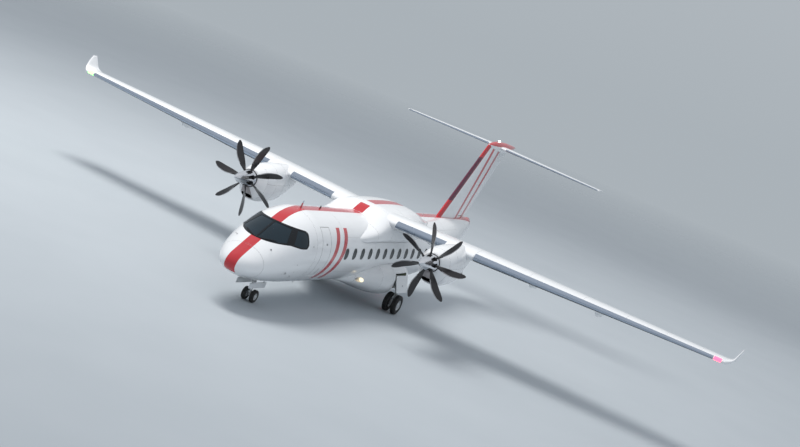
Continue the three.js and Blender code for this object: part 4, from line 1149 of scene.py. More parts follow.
LIP = [  # how far in, how deep
    (0.002, 0.3), (0, 0.05), (0, 0.012), (0.003, 0.003), (0.007, 0),
    (0.011, 0.003), (0.014, 0.012), (0.018, 0.05), (0.018, 0.28),
]
COWL_JOINTS, SPLIT = (8.22, 8.98, 9.8, 10.7), [(-1, 0.964), (1, 0.964), (1, 0.97), (-1, 0.97)]
EXHAUST_START, EXHAUST_END, EXHAUST_RADIUS = (0.1, 9.9, 0.66), (0.13, 11.15, 0.56), 0.12  # offset, station, height
PIPE = [  # added to the radius, distance from the end
    (0, -0.06), (0.004, -0.015), (0.007, -0.003), (0.005, -0.002), (0.001, -0.012),
    (-0.006, -0.06), (-0.01, -0.4), (-0.012, -0.6),
]


print("sections of the nacelle:", len(NACELLE))


# %% Blocks that cut the cowling
def around_engine(side, radius, front, back, material, sides=64):
    start, stop = at(side * ENGINE_X, (front, back), ENGINE_HEIGHT)
    return rod(start, stop, radius, material, sides=sides)


def facing(outline, side, front, back, material):
    """An outline of offset and height, extruded along the engine."""
    offset, height = array(outline).T
    return loft([at(side * ENGINE_X + offset, station, height) for station in (front, back)], material)


def paint_where(made, material, test):
    """Gives another finish to the faces whose middle, in station and height, passes the test."""
    mesh = made.data
    mesh.materials.append(material)
    for face in mesh.polygons:
        if test(face.center.y + LENGTH / 2, face.center.z - AXIS_HEIGHT):
            face.material_index = len(mesh.materials) - 1
    return made


def scoop_ring(side, shift, depth):
    offset, height = rounded(inset(SCOOP, shift), 0.06).T
    lean = SCOOP_LEAN * (SCOOP_TOP - height)
    return at(side * ENGINE_X + offset, SCOOP_FRONT + lean + depth, height)


def exhaust(side, cowl):
    """Cuts a hole for the pipe into the cowl, and returns the pipe."""
    start, stop = (at(side * ENGINE_X + side * o, s, h) for o, s, h in (EXHAUST_START, EXHAUST_END))
    along, long = unit(stop - start), norm(stop - start)
    # the wall of the hole round the pipe is near black, as painted shade
    cut(cowl, rod(start, stop + 0.4 * along, EXHAUST_RADIUS + 0.01, recess_shade_black, sides=48))
    profile = [(0, 0), *((EXHAUST_RADIUS, t) for t in (0, 0.4, 0.9))]
    profile += [(EXHAUST_RADIUS + more, long + aft) for more, aft in PIPE] + [(0, long - 0.6)]
    turned_to = array(Vector(along).to_track_quat("Z", "Y").to_matrix()).T
    angle = linspace(0, 2 * pi, 56, endpoint=False)
    circles = [stack([r * cos(angle), r * sin(angle), t + 0 * angle], -1) for r, t in profile]
    return loft([start + circle @ turned_to for circle in circles], hot_steel, 50)


# %% Both nacelles
for name, side in SIDES.items():
    cowl_skin = loft(body_rings(NACELLE, 0.04, 80, side * ENGINE_X, 0.93), white)
    cowl, deep = copy(cowl_skin), copy(cowl_skin, -0.004, seal)
    for station in COWL_JOINTS:
        opening(cowl, around_engine(side, 1.5, station - 0.003, station + 0.003, seal), deep)
    opening(cowl, facing(SPLIT, side, COWL_JOINTS[0], COWL_JOINTS[-1], seal), deep)
    # The chin round the slot is a grey sheet laid just outside the cowl: painted shade, where the chin faces down and
    # forward.
    shaded_chin_sheet = facing(rounded(SHADED_CHIN, 0.04), side, 7.6, 8.3, chin_grey)
    cut(shaded_chin_sheet, copy(cowl_skin, 0.0012, chin_grey), "INTERSECT")
    # the duct behind the slot, the mouth round the spinner and the inner lip of the scoop are near black: painted
    # shade in these recesses
    inside = facing(rounded(inset(SCOOP, 0.012), 0.05), side, 7.6, 8.6, recess_shade_black)
    for part in (cowl, shaded_chin_sheet):
        cut(part, inside, keep=True)
        cut(part, around_engine(side, MOUTH_RADIUS, 7.3, MOUTH_BACK, recess_shade_black))
    scoop = loft([scoop_ring(side, shift, depth) for shift, depth in LIP], white, 60)
    paint_where(scoop, recess_shade_black, lambda s, h: s > SCOOP_FRONT + SCOOP_LEAN * (SCOOP_TOP - h) + 0.02)
    pipe = exhaust(side, cowl)
    like_skin(cowl, cowl_skin)
    like_skin(shaded_chin_sheet, cowl_skin)
    discard(inside, deep, cowl_skin)
    fit(f"nacelle_shell_{name}", [cowl, shaded_chin_sheet, scoop], "airframe", "white_paint", f"nacelle_{name}")
    fit(f"exhaust_pipe_{name}", pipe, "airframe", "hot_metal", f"exhaust_{name}")
    hidden = frame["nodes"][f"engine_{name}"].data.materials
    hidden.clear()
    hidden.append(steel)

# %% [markdown]
# ## Propellers
# A blade starts as a round shank, flattens into a section, and untwists towards its tip, because the tip
# moves fastest. The tip sweeps back like a sabre to keep the noise down. A nickel strip guards the leading
# edge against rain and grit.

# %% Propeller blades
BLADES, PLANE = 7, 7.5
BLADE = [  # radius, chord, thickness, pitch in degrees, sweep, roundness
    (0.18, 0.112, 0.112, 62, 0, 1),
    (0.33, 0.112, 0.09, 62, 0, 1),
    (0.42, 0.16, 0.066, 58, -0.01, 0.5),
    (0.56, 0.23, 0.05, 52, -0.02, 0),
    (0.9, 0.29, 0.034, 40, -0.025, 0),
    (1.25, 0.25, 0.022, 32, 0.02, 0),
    (1.5, 0.12, 0.008, 27, 0.09, 0),
]
BLADE_END, BLADE_TIP = 1.5, 0.13  # the radius of the tip, and the length over which it rounds off
radius, *columns = array(BLADE).T
of_radius = [curve(radius, column) for column in columns]
REACHES = join_up([linspace(0.18, 1.35, 26), BLADE_END - BLADE_TIP * (1 - sin(linspace(0.1, pi / 2, 9)))])


def blade_ring(side, turn, radius, grow=0.0, first=None):
    """One section of a blade. With a first share, only the strip round the leading edge."""
    chord, thick, pitch, sweep, roundness = (value(radius) for value in of_radius)
    past = max(0.0, (radius - (BLADE_END - BLADE_TIP)) / BLADE_TIP)
    chord *= sqrt(max(0.0, 1 - past**2)) * 0.94 + 0.06
    f = np.unique(np.append(ROUND[ROUND <= first] if first else ROUND[::2], first or 1.0))
    half = thick * ((1 - roundness) * fullness(f) * 0.98 + roundness * np.sqrt(np.maximum(f - f**2, 0)))
    lift = 0.25 * thick * (1 - roundness) * 4 * f * (1 - f)
    u, w = join_up([f[::-1], f[1:]]), join_up([(lift - half - grow)[::-1], (lift + half + grow)[1:]])
    if first:
        back, nose = join_up([f[:0:-1], f]), grow / chord
        u = join_up([u - nose * (u < 0.01), back + 2 * nose * (back < 0.01)])
        w = join_up([w, (lift + half - grow)[:0:-1], lift - half + grow])
    u, p = (u - 0.5) * chord + sweep, radians(pitch)
    bent = turn + (u * cos(p) - w * sin(p)) / radius
    aft = u * sin(p) + w * cos(p)
    return at(side * ENGINE_X + side * radius * cos(bent), PLANE + aft, ENGINE_HEIGHT + radius * sin(bent))


for name, side in SIDES.items():
    made = []
    for turn in turns_of(BLADES):
        made.append(loft([blade_ring(side, turn, r) for r in REACHES], blade_black, 60))
        guard = [blade_ring(side, turn, r, 0.0013, 0.09) for r in linspace(0.62, 1.46, 22)]
        made.append(loft(guard, steel, 60))
    made.append(around_engine(side, 0.23, 7.32, 7.68, steel, 84))  # the hub
    made.append(around_engine(side, 0.06, 7.67, 7.94, chrome, 32))  # its shaft
    fit(f"propeller_blades_{name}", made, f"propeller_{name}", "blade_black", f"propeller_{name}")

# %% [markdown]
# ## Spinners
# The spinner is polished sheet metal. Seven ridges run from its tip between the blades, so its section is
# a heptagon with soft sides that turns into a circle at the back. Each blade root leaves it through an
# opening, with a notch ahead; the walls of both are near black, as painted shade.

# %% Spinners
SPINNER_TIP, FACET = 6.47, 0.9
SPINNER = [  # radius of the ridges, distance aft of the tip
    (0, 0), (0.01, 0.004), (0.06, 0.06), (0.12, 0.18), (0.19, 0.4),
    (0.255, 0.68), (0.3, 0.93), (0.328, 1.2), (0.33, 1.222), (0.326, 1.23),
]
NOTCH = [(-0.086, -0.02), (-0.06, -0.2), (-0.022, -0.42), (0.022, -0.42), (0.06, -0.2), (0.086, -0.02)]
length = run_of(SPINNER)
smooth = linspace(0, 1, 70) ** 1.3 * length[-1]
radii, afts = (curve(length, column)(smooth) for column in array(SPINNER).T)
turn, half_step = turns_of(24 * BLADES), pi / BLADES
flat = cos(half_step) / cos((turn + half_step) % (2 * half_step) - half_step)
for name, side in SIDES.items():
    x, rings = side * ENGINE_X, []
    for r, aft in zip(radii, afts):
        share = FACET * interp(aft, [0, 0.02, 0.95, 1.2], [0.2, 1, 1, 0.15])
        bent = r * (1 - share + share * flat)
        rings.append(at(x + bent * side * cos(turn), SPINNER_TIP + aft, ENGINE_HEIGHT + bent * sin(turn)))
    spinner = loft(rings, spinner_metal)
    for a in turns_of(BLADES):

        def point(r, aside=0.0, aft=0.0):
            out, up = r * cos(a) - aside * sin(a), r * sin(a) + aside * cos(a)
            return at(x + side * out, PLANE + aft, ENGINE_HEIGHT + up)

        # the walls of each blade opening and notch are near black: painted shade
        cut(spinner, rod(point(0.234), point(0.45), 0.088, recess_shade_black, sides=32))
        cut(spinner, loft([[point(r, *corner) for corner in NOTCH] for r in (0.236, 0.45)], recess_shade_black))
    fit(f"spinner_shell_{name}", shade(spinner, 14), f"propeller_{name}", "polished_metal", f"spinner_{name}")

# %% [markdown]
# ## The fin and the rudder
# The fin carries the tailplane on its top, out of the wake of the wing. Its sections lie flat, one above
# the other, each a little smaller and further aft. The rudder is cut free just as the ailerons are.

# %% The fin and the rudder
FIN = [  # height, leading edge station, trailing edge station, thickness
    (0.9, 18.202, 21.937, 0.32),
    (1.456, 18.68, 22.334, 0.3),
    (4.95, 21.681, 24.833, 0.22),
]
RUDDER_AT, RUDDER_LOW, RUDDER_HIGH, RUDDER_GAP = 0.68, 1.47, 4.45, 0.03
RUDDER_SLOPE = 0.08  # how far its upper edge falls for each metre it goes aft


def fin_at(height):
    heights, *columns = array(FIN).T
    leading, trailing, thick = (interp(height, heights, column) for column in columns)
    return Section((leading, trailing - leading, thick, height))


def fin_ring(height, outline=Section.around):
    station, out = outline(fin_at(height))
    return at(out, station, height)


def rudder_ring(height):
    section = fin_at(height)
    station, out = nosed(RUDDER_AT)(section)
    lean = RUDDER_SLOPE * (height - RUDDER_LOW) / (RUDDER_HIGH - RUDDER_LOW)
    return at(out, station, height - lean * np.maximum(station - section.station(RUDDER_AT), 0))


heights = join_up([linspace(0.9, 1.456, 5), linspace(1.6, 4.95, 26)])
fin_skin = loft([fin_ring(h) for h in heights], fin_white)
fin = copy(fin_skin)
sections = [fin_at(h) for h in (RUDDER_LOW, RUDDER_HIGH)]
ends = [(at(0, s.station(RUDDER_AT), s.height), s.half(RUDDER_AT)) for s in sections]
low, high = RUDDER_LOW - RUDDER_GAP, RUDDER_HIGH + RUDDER_GAP
front = [(fin_at(h).station(RUDDER_AT), h) for h in (low, high)]
behind = [(s + 2.5, h) for s, h in front]
cut(fin, slab([front[0], *behind, front[1]], -1, 1, zinc_green))
cut(fin, cone_between(ends, RUDDER_GAP, 1.0, COVE_CLEAR, zinc_green))
like_skin(fin, fin_skin)
discard(fin_skin)
rudder = loft([rudder_ring(h) for h in linspace(RUDDER_LOW, RUDDER_HIGH, 20)], fin_white, 50)
fit("fin_shell", fin, "airframe", "white_paint", "fin")
fit("rudder_shell", [rudder, cone_between(ends, 0.055, 0.0, 0.014, steel)], "rudder", "white_paint", "rudder")

# %% [markdown]
# ## The tailplane, its elevators, and the bullet
# The tailplane crosses the fin inside a long streamlined body. Builders call it a bullet, and it keeps the
# air smooth where four surfaces meet.

# %% The tailplane and its elevators
TAIL = [(0, 22.95, 1.75, 0.17, 4.93), (5.05, 23.75, 1, 0.09, 4.86)]  # as for the wing
ELEVATOR_AT, ELEVATOR_SPAN, TAIL_BLOCK = 0.66, (0.33, 4.7), (4, 6)


def tail_at(x):
    return section_of(TAIL, x)


def tail_cap(section):
    return Section((section.leading + 0.02, section.chord - 0.03, section.thick * 0.55, 0)).around()


right_cap, left_cap = (span_rings(tail_at, [5.05], side, tail_cap) for side in (-1, 1))
tail_skin = loft(right_cap + whole_span(tail_at, linspace(-5.03, 5.03, 41)) + left_cap, white)
tailplane = copy(tail_skin)
for name, side in SIDES.items():
    elevator = hinged(tailplane, tail_at, ELEVATOR_AT, ELEVATOR_SPAN, side, 12, 0.009, TAIL_BLOCK)
    fit(f"elevator_shell_{name}", elevator, f"elevator_{name}", "white_paint", f"elevator_{name}")
like_skin(tailplane, tail_skin)
discard(tail_skin)
fit("tailplane_shell", tailplane, "airframe", "white_paint", "tailplane")

BULLET = [  # station, top, bottom, half width, middle
    (21.75, 4.93, 4.93, 0, 4.93),
    (22.1, 5.06, 4.8, 0.13, 4.93),
    (22.9, 5.16, 4.72, 0.19, 4.94),
    (23.9, 5.17, 4.7, 0.2, 4.935),
    (24.8, 5.13, 4.74, 0.16, 4.935),
    (25.78, 5.06, 5.02, 0.018, 5.04),
    (25.88, 5.042, 5.038, 0.002, 5.04),
]
bullet = loft(body_rings(BULLET, 0.02, 56, root=True), bullet_white)
fit("bullet", bullet, "airframe", "white_paint", "fin_bullet")

# %% [markdown]
# ## Tubes, turned parts and a way to touch the skin
# Three helpers serve all the small parts. A tube follows a bent path without twisting. A turned part is a
# profile spun about an axis, as on a lathe. And a ray shot at the skin finds the point and the slope where
# it lands, so that a probe sits exactly on the surface.

# %% Tubes, turned parts and rays
def square_to(axis):
    """The axis as a unit, and two directions at right angles to it."""
    axis = unit(array(axis, float))
    first = unit(np.cross(axis, (0, 0, 1) if abs(axis[2]) < 0.9 else (0, 1, 0)))
    return axis, first, np.cross(axis, first)


def turned(profile, origin, axis, material, sides=48, sharp=30):
    """Spins a profile of (radius, distance along the axis). Its ends must lie on the axis or meet."""
    axis, u, v = square_to(axis)
    profile = array(profile, float)
    looped = np.allclose(profile[0], profile[-1])
    if looped:
        profile = profile[:-1]
    angle = turns_of(sides)[:, None]
    points = array(origin) + profile[:, None, :1] * (cos(angle) * u + sin(angle) * v) + profile[:, None, 1:] * axis
    a = np.arange(len(profile) * sides).reshape(-1, sides)
    b = np.roll(a, -1, axis=1)
    faces = stack([a, b, np.roll(b, -1, axis=0), np.roll(a, -1, axis=0)], -1)
    return build(points, (faces if looped else faces[:-1]).reshape(-1, 4).tolist(), material, sharp)


def tube(path, radius, material, sides=12, smooth=0):
    """A round tube along a path of points. With smooth, a curve through the points is used."""
    path = array(path, float)
    if smooth:
        run = run_of(path)
        path = stack([curve(run, column)(linspace(0, run[-1], smooth)) for column in path.T], -1)
    heading = np.gradient(path, axis=0)
    heading /= norm(heading, axis=1, keepdims=True)
    side, angle, rings = square_to(heading[0])[1], turns_of(sides)[:, None], []
    for point, axis in zip(path, heading):
        side = unit(side - axis * side.dot(axis))
        rings.append(point + radius * (cos(angle) * side + sin(angle) * np.cross(axis, side)))
    return loft(rings, material, 50)


body_tree = BVHTree.FromObject(skin, bpy.context.evaluated_depsgraph_get())


def touch(start, direction):
    """Where a ray lands on the fuselage: the point and the outward direction there."""
    point, normal, _, _ = body_tree.ray_cast(Vector(start), Vector(direction))
    return array(point), array(normal)


def beside(side, station, height):
    return touch(at(side * 3, station, height), (-side, 0, 0))


def on_x(centre, half):
    """The two ends of a bar that lies across the aircraft."""
    return centre - (half, 0, 0), centre + (half, 0, 0)


print("the nose, from ahead, is touched at", touch(at(0, -1, -0.76), (0, 1, 0))[0].round(3))

# %% [markdown]
# ## Fasteners by geometry nodes
# The rows of flush rivets beside the frame joints catch the light. One tree shoots rays from a ring at the
# skin and puts a shallow dome where each lands, turned to the surface.

# %% A tree for rows of fasteners
net, given, end = tree_with("fastener_ring", Skin="Object", Centre=(0.0, 0.0, 0.0), Count=120, Start=3.0, Size=0.0045)
target = net.geo("ObjectInfo", {"Object": given["Skin"]}, "Geometry", transform_space="RELATIVE")
ring = net.geo("MeshCircle", {"Vertices": given["Count"], "Radius": given["Start"]})
ring = net.geo("Transform", {0: ring, "Translation": given["Centre"], "Rotation": (pi / 2, 0, 0)})
inward = net.add("VectorMath", {0: given["Centre"], 1: net.geo("InputPosition")}, operation="SUBTRACT")
hit = net.geo("Raycast", {"Target Geometry": target, "Ray Direction": inward}).node.outputs
dome = net.geo("MeshCone", {"Vertices": 6, "Radius Top": 0.6, "Radius Bottom": 1.0, "Depth": 0.25})
size = net.add("CombineXYZ", dict.fromkeys(range(3), given["Size"]))
head = net.geo("Transform", {0: dome, "Scale": size})
kept = net.geo("StoreNamedAttribute", {0: ring, "Name": "slope", 3: hit["Hit Normal"]}, data_type="FLOAT_VECTOR")
kept = net.geo("SetPosition", {0: kept, "Position": hit["Hit Position"]})
slope = net.geo("InputNamedAttribute", {"Name": "slope"}, data_type="FLOAT_VECTOR")
turn = net.add("AlignRotationToVector", {"Vector": slope}, family="Function", axis="Z")
fastener_ring = end(net.geo("InstanceOnPoints", {"Points": kept, "Instance": head, "Rotation": turn}))
print("nodes in the fastener tree:", len(fastener_ring.nodes))

# %% [markdown]
# ## Finishing the fuselage
# The skin is made in barrels. Their joints show as fine dark lines round the body, with a row of fasteners
# on each side. The nose gear folds forward into a well that is painted with greenish primer.

# %% Barrel joints, rivets and the nose gear well
JOINTS = (0.8, 3.56, 5.96, 9.0975, 12.2375, 15.3775, 17.74, 19.8, 21.7)
LAPS = [(0.72, 5.96, 12.24), (-0.62, 5.96, 13.9), (-0.62, 15.38, 19.8), (1.02, 15.38, 19.8)]  # height, from, to
NOSE_WELL = (0.265, 1.6, 2.96, -2, -0.92)  # half width, front, back, low, high
RIVET_ROWS, RIVETS = (-0.022, 0.022), 110
for station in JOINTS:
    ring = rod(at(0, station - 0.0025, 0), at(0, station + 0.0025, 0), 2.0, seal, sides=64)
    opening(fuselage, ring, inner["seam"])
for height, start, stop in LAPS:
    h0, h1 = height - 0.002, height + 0.002
    opening(fuselage, slab([(start, h0), (stop, h0), (stop, h1), (start, h1)], -2, 2, seal), inner["seam"])
cut(fuselage, box(0, *NOSE_WELL, zinc_green))

middle = curve(*array(BODY)[:, [0, 4]].T)
rivets = [
    grown(fastener_ring, white, Skin=skin, Centre=at(0, station + shift, middle(station)), Count=RIVETS)
    for station in JOINTS
    for shift in RIVET_ROWS
]
fit("fuselage_rivets", rivets, "airframe")

# %% [markdown]
# ## The fairing over the wing
# The wing crosses above the cabin, inside a long smooth hump whose sides come down as far as the window
# line. A gap of a few millimetres is cut round it, as the real fairing has a rubber edge there.

# %% The fairing over the wing
SADDLE = [  # station, top, bottom, half width, middle
    (7.2, 0.78, 0.42, 1.15, 0.6),
    (8.2, 1.02, 0.42, 1.29, 0.64),
    (8.8, 1.15, 0.42, 1.34, 0.72),
    (9.3, 1.39, 0.42, 1.38, 0.78),
    (9.85, 1.67, 0.42, 1.4, 0.84),
    (10.4, 1.76, 0.42, 1.41, 0.86),
    (12.2, 1.8, 0.42, 1.41, 0.86),
    (13.4, 1.77, 0.58, 1.34, 0.9),
    (14.1, 1.66, 0.96, 1.15, 1.1),
    (15, 1.48, 1.04, 0.9, 1.16),
    (16, 1.29, 1.1, 0.6, 1.18),
]
EDGE_GAP = 0.006


def fairing_livery(net, place):
    x, station, height = stations(net, place)
    along = net.math("MAXIMUM", net.math("COMPARE", station, 9.55, 0.3), net.math("GREATER_THAN", station, 10.3))
    return net.math("MULTIPLY", net.math("COMPARE", x, 0.0, STRIPE_HALF), along)


def seamed(master, joints):
    """A copy of a fairing's skin with fine joints round it, and its edge gap in the fuselage."""
    piece, deep = copy(master), copy(master, -0.003, seal)
    for station in joints:
        opening(piece, rod(at(0, station - 0.0025, 0), at(0, station + 0.0025, 0), 4.0, seal, sides=48), deep)
    discard(deep)
    cut(fuselage, copy(master, EDGE_GAP, seal))
    return piece


fairing_white = painted("fairing_paint", livery=fairing_livery)
saddle_skin = loft(body_rings(SADDLE, 0.05, 112, 0.0, 0.75), fairing_white)
saddle = seamed(saddle_skin, (8.9, 10.15, 11.6, 13.2, 14.6))
like_skin(saddle, saddle_skin)
discard(saddle_skin)
fit("wing_root_fairing", saddle, "airframe", "white_paint", "wing_fairing")

# %% [markdown]
# ## The belly fairing and the wheel wells
# The main legs fold into the belly fairing. Its wells stay open while the legs are down. Ribs stiffen
# them, and two landing lights look forward from the fairing's rounded front.

# %% The belly fairing and the wheel wells
BELLY = [  # station, top, bottom, half width
    (8, -0.76, -1.28, 0.8),
    (8.8, -0.53, -1.36, 1.15),
    (9.6, -0.32, -1.48, 1.5),
    (10.4, -0.2, -1.63, 1.72),
    (11.2, -0.14, -1.72, 1.79),
    (12, -0.12, -1.67, 1.76),
    (12.8, -0.16, -1.53, 1.67),
    (13.6, -0.42, -1.39, 1.48),
    (14.3, -0.9, -1.22, 0.9),
]
WELL_MIDDLE, WELL = 1.66, (0.54, 11.35, 12.75, -1.9, -0.56)  # half width, front, back, low, high
WELL_RIBS = (11.62, 11.86, 12.24, 12.5)
PIPES = [(-0.7, 0.009, hose_black), (-0.74, 0.006, steel), (-1.02, 0.008, steel)]  # height, radius, finish
PIPE_PATH = array([(1.135, 11.352, 0), (1.19, 11.46, 0), (1.185, 12.1, -0.02), (1.19, 12.64, 0), (1.135, 12.748, 0)])
LIGHT_X, LIGHT_STATION, LIGHT_HEIGHT = 1.235, 9.215, -0.985
REFLECTOR = [
    (0, 0.1), (0.04, 0.095), (0.07, 0.07), (0.092, 0.02), (0.096, 0), (0.097, 0), (0.097, 0.14), (0, 0.14),
]
LENS = [(0, -0.006), (0.05, -0.003), (0.09, 0.006), (0.094, 0.01), (0.094, 0.016), (0, 0.016)]

belly_table = [(s, top, bottom, half, (top + bottom) / 2) for s, top, bottom, half in BELLY]
belly_skin = loft(body_rings(belly_table, 0.05, 112, 0.0, 0.72), white)
belly = seamed(belly_skin, (8.75, 10.2, 11.15, 12.95, 13.7))
well_parts = []
for side in SIDES.values():
    cut(belly, box(side * WELL_MIDDLE, *WELL, zinc_green))
    for s in WELL_RIBS:
        well_parts.append(box(side * 1.1475, 0.0225, s - 0.008, s + 0.008, -1.28, -0.585, zinc_green))
        well_parts.append(box(side * 1.1675, 0.004, s - 0.022, s + 0.022, -1.27, -0.59, zinc_green))
    for height, radius, material in PIPES:
        x, station, drop = PIPE_PATH.T
        well_parts.append(tube(at(side * x, station, height + drop), radius, material, 8, 20))
    light, *bowl = at(side * LIGHT_X, LIGHT_STATION + array((0, -0.6, 0.16)), LIGHT_HEIGHT)
    cut(belly, rod(*bowl, 0.098, steel, sides=40))
    well_parts.append(turned(REFLECTOR, light, (0, 1, 0), chrome, 40))
    well_parts.append(turned(LENS, light, (0, 1, 0), warm_lens, 40))
like_skin(belly, belly_skin)
discard(belly_skin)
fit("belly_shell", [belly, *well_parts], "airframe", "white_paint", "belly_fairing")

# %% [markdown]
# ## Stair treads inside the passenger door
# Let down, the door's inner side is a stair. Each tread is level when the door has turned by 135 degrees,
# so in the closed door it leans by 45 degrees. It has a black grip strip, and a riser square to it.

# %% Stair treads
TREADS, TREAD_DEEP, TREAD_ENDS = 6, 0.165, (4.085, 4.665)
FIRST_TREAD, TREAD_STEP, INSIDE = -0.42, 0.2107, BODY_RADIUS - 0.081  # angles, and the door's inner radius
TREAD, RISER = array([-1, 1]) / sqrt(2), array([1, 1]) / sqrt(2)


def board(start, stop, thick, margin, material):
    """A flat board between two points of x and height, as wide as the stair less a margin."""
    way = unit(stop - start)
    out = array([-way[1], way[0]]) * thick
    x, height = array([start, stop, stop + out, start + out]).T
    front, back = TREAD_ENDS
    return loft([at(x, station, height) for station in (front + margin, back - margin)], material)


treads = []
for i in range(TREADS):
    angle = FIRST_TREAD + i * TREAD_STEP
    foot = INSIDE * array([cos(angle), sin(angle)])
    nose = foot + TREAD_DEEP * TREAD
    rise = (INSIDE**2 - nose @ nose) / (2 * (nose @ RISER))
    for _ in range(6):  # the length of the riser that ends on the door's inner face
        rise = (INSIDE**2 - nose @ nose - rise**2) / (2 * (nose @ RISER))
    foot *= 1 - 0.004 / INSIDE
    treads.append(board(foot, nose, 0.012, 0.0, gear_paint))
    treads.append(board(nose, nose + (rise - 0.004) * RISER, 0.006, 0.0, gear_paint))
    treads.append(board(foot + 0.6 * (nose - foot), nose, 0.015, 0.03, hose_black))
print("boards of the stair:", len(treads))

# %% [markdown]
# ## Pieces on their bodies
# A finished piece rides on the body that carries it in the CAD model, so a door swings with its
# hinge. The CAD nodes that it stands for are hidden. The offset skins have done their work.

# %% Fuselage, glazing and doors on their bodies
like_skin(fuselage, skin)
fit("fuselage_shell", fuselage, "airframe", "white_paint", "fuselage")
fit("cockpit_glazing", [visor, *(like_skin(p, skin) for p in panes)], "airframe", "dark_glass", "glazing")
for name, slot, layer in zip(("rings", "gaskets", "panes"), (None, None, "dark_glass"), cabin_windows):
    fit(f"window_{name}", layer, "airframe", slot)
inside = {"passenger_door": treads, "service_door": service_window}
for name, door in doors.items():
    fit(f"{name}_panel", [door, *handles[name], *inside.get(name, [])], name, "white_paint", name)
discard(*inner.values())

# %% [markdown]
# ## Aerials, probes and wipers
# Small parts give an airliner its scale: a swept aerial on the roof, air data probes on the
# nose, static ports, and two wipers parked along the lower edge of the windscreen.

# %% Aerials, probes and wipers
ROOF_AERIAL = (1.3, 1.618, 3.79, 4.008, 3.93, 4.008, 0.0178, red)
AERIALS = [  # foot, tip, front and back of the foot, front and back of the tip, thickness, finish
    (1.35, 1.47, 5.53, 5.7, 5.6, 5.68, 0.02, hose_black),
    (-1.35, -1.56, 5.6, 5.84, 5.74, 5.86, 0.018, white),
    (-1.34, -1.5, 6.9, 7.12, 7.02, 7.12, 0.018, white),
    (-1.2, -1.42, 15.7, 15.94, 15.84, 15.96, 0.018, white),
    (1.35, 1.45, 16.6, 16.8, 16.68, 16.8, 0.016, white),
]
PORTS = [  # station, height, radius
    (3.286, 0.384, 0.03), (2.488, -0.292, 0.026), (2.56, -0.586, 0.026), (1.9, -0.7, 0.022), (15, -0.3, 0.03),
]
PROBES = [(2.56, -0.778, 0.2), (2.05, -0.64, 0.2), (1.224, 0.02, 0.11)]  # station, height, length
PROBE_BASE = [(0, -0.004), (0.032, -0.004), (0.03, 0.004), (0, 0.006)]
WIPER = array(((0.1, 0.225), (0.6, 0.3)))  # from the pivot to the end of the arm, as x and height
WIPER_PIVOT = [(0, -0.004), (0.022, -0.004), (0.02, 0.016), (0.01, 0.022), (0, 0.023)]


def blade_aerial(foot, tip, front, back, tip_front, tip_back, thick, material):
    rings = []
    for t in (0, 0.25, 0.5, 0.75, 0.96, 1.0):
        a, b = front + t * (tip_front - front), back + t * (tip_back - back)
        section = Section((a, b - a, thick * (1 - 0.35 * t) * (0.4 if t == 1 else 1), 0))
        station, out = section.around()
        rings.append(at(out, station, foot + t * (tip - foot)))
    return loft(rings, material, 50)


def on_windscreen(side, share, above=0.0):
    """The skin under a wiper, at a share of its arm."""
    x, height = WIPER[0] + share * (WIPER[1] - WIPER[0]) + (0, above)
    return touch(at(side * x, 0.2, height), (0, 1, 0))


metal_tip = ROOF_AERIAL[0] + 0.8 * (ROOF_AERIAL[1] - ROOF_AERIAL[0])
# The aerial's tip takes the same metal as the leading edges, with its blue-grey tone of painted shade.
mast = paint_where(blade_aerial(*ROOF_AERIAL), edge_metal, lambda s, h: h > metal_tip)
fit("roof_aerial", mast, "airframe", "red_paint", "antenna")
small = [blade_aerial(*row) for row in AERIALS]
for s, h, r in PORTS:
    port = [(0.0, -0.002), (0.006, -0.002), (0.007, 0.0015), (r - 0.002, 0.0018), (r, -0.004), (0.0, -0.004)]
    small += [turned(port, *beside(side, s, h), steel, 24) for side in SIDES.values()]
for s, h, long in PROBES:
    for side in SIDES.values():
        point, slope = beside(side, s, h)
        small.append(turned(PROBE_BASE, point, slope, steel, 24))
        elbow = point + 0.055 * slope
        bend = [point, point + 0.035 * slope, elbow + (0, -0.018, 0), elbow + (0, -long, 0)]
        small.append(tube(bend, 0.008, steel, 10, 16))
        small.append(rod(bend[-1] + (0, 0.03, 0), bend[-1] + (0, -0.02, 0), 0.0085, chrome, 0.004, 12))
for side in SIDES.values():
    arm, rubber = [], []
    for t in linspace(0, 1, 9):
        point, slope = on_windscreen(side, t)
        arm.append(point + slope * (0.01 + 0.014 * sin(pi * min(1, t * 1.3 + 0.1))))
    for t in linspace(0.4, 1.0, 8):
        point, slope = on_windscreen(side, t, 0.012)
        rubber.append(point + slope * 0.006)
    small += [tube(arm, 0.006, hose_black, 8), tube(rubber, 0.0065, seal, 8)]
    small.append(turned(WIPER_PIVOT, *on_windscreen(side, 0), hose_black, 20))
fit("aerials_and_probes", small, "airframe")
discard(skin)

# %% [markdown]
# ## Leading edges
# Rubber boots and bare metal guard the edges that meet rain and ice. Each strip is a thin skin that wraps
# the nose of its section. On the wing a bright metal strip lies on top and a black boot below; the metal's
# blue-grey tone is painted shade, the shade under a leading edge. The fin's strip is red at its foot and
# maroon above.

# %% Leading edge strips
# The metal strips carry the blue-grey tone of painted shade; the boots are black rubber.
EDGE_STRIPS = [  # section, from, to, rings, thickness, share below, share above, finish
    (wing_at, 1.46, 3.5, 10, 0.003, 0.022, 0.06, edge_metal),
    (wing_at, 4.72, 14.3, 40, 0.003, 0.022, 0.06, edge_metal),
    (wing_at, 4.72, 14.3, 40, 0.0015, 0.07, 0.004, boot_black),
    (tail_at, 0.45, 4.98, 24, 0.0026, 0.01, 0.045, edge_metal),
    (tail_at, 0.45, 4.98, 24, 0.0014, 0.045, 0.004, boot_black),
]


def edge_strip(section_at, start, stop, count, thick, below, above, material, side, sharp=50):
    wrap = lambda section: section.around(thick, below, above)
    return loft(span_rings(section_at, linspace(start, stop, count), side, wrap), material, sharp)


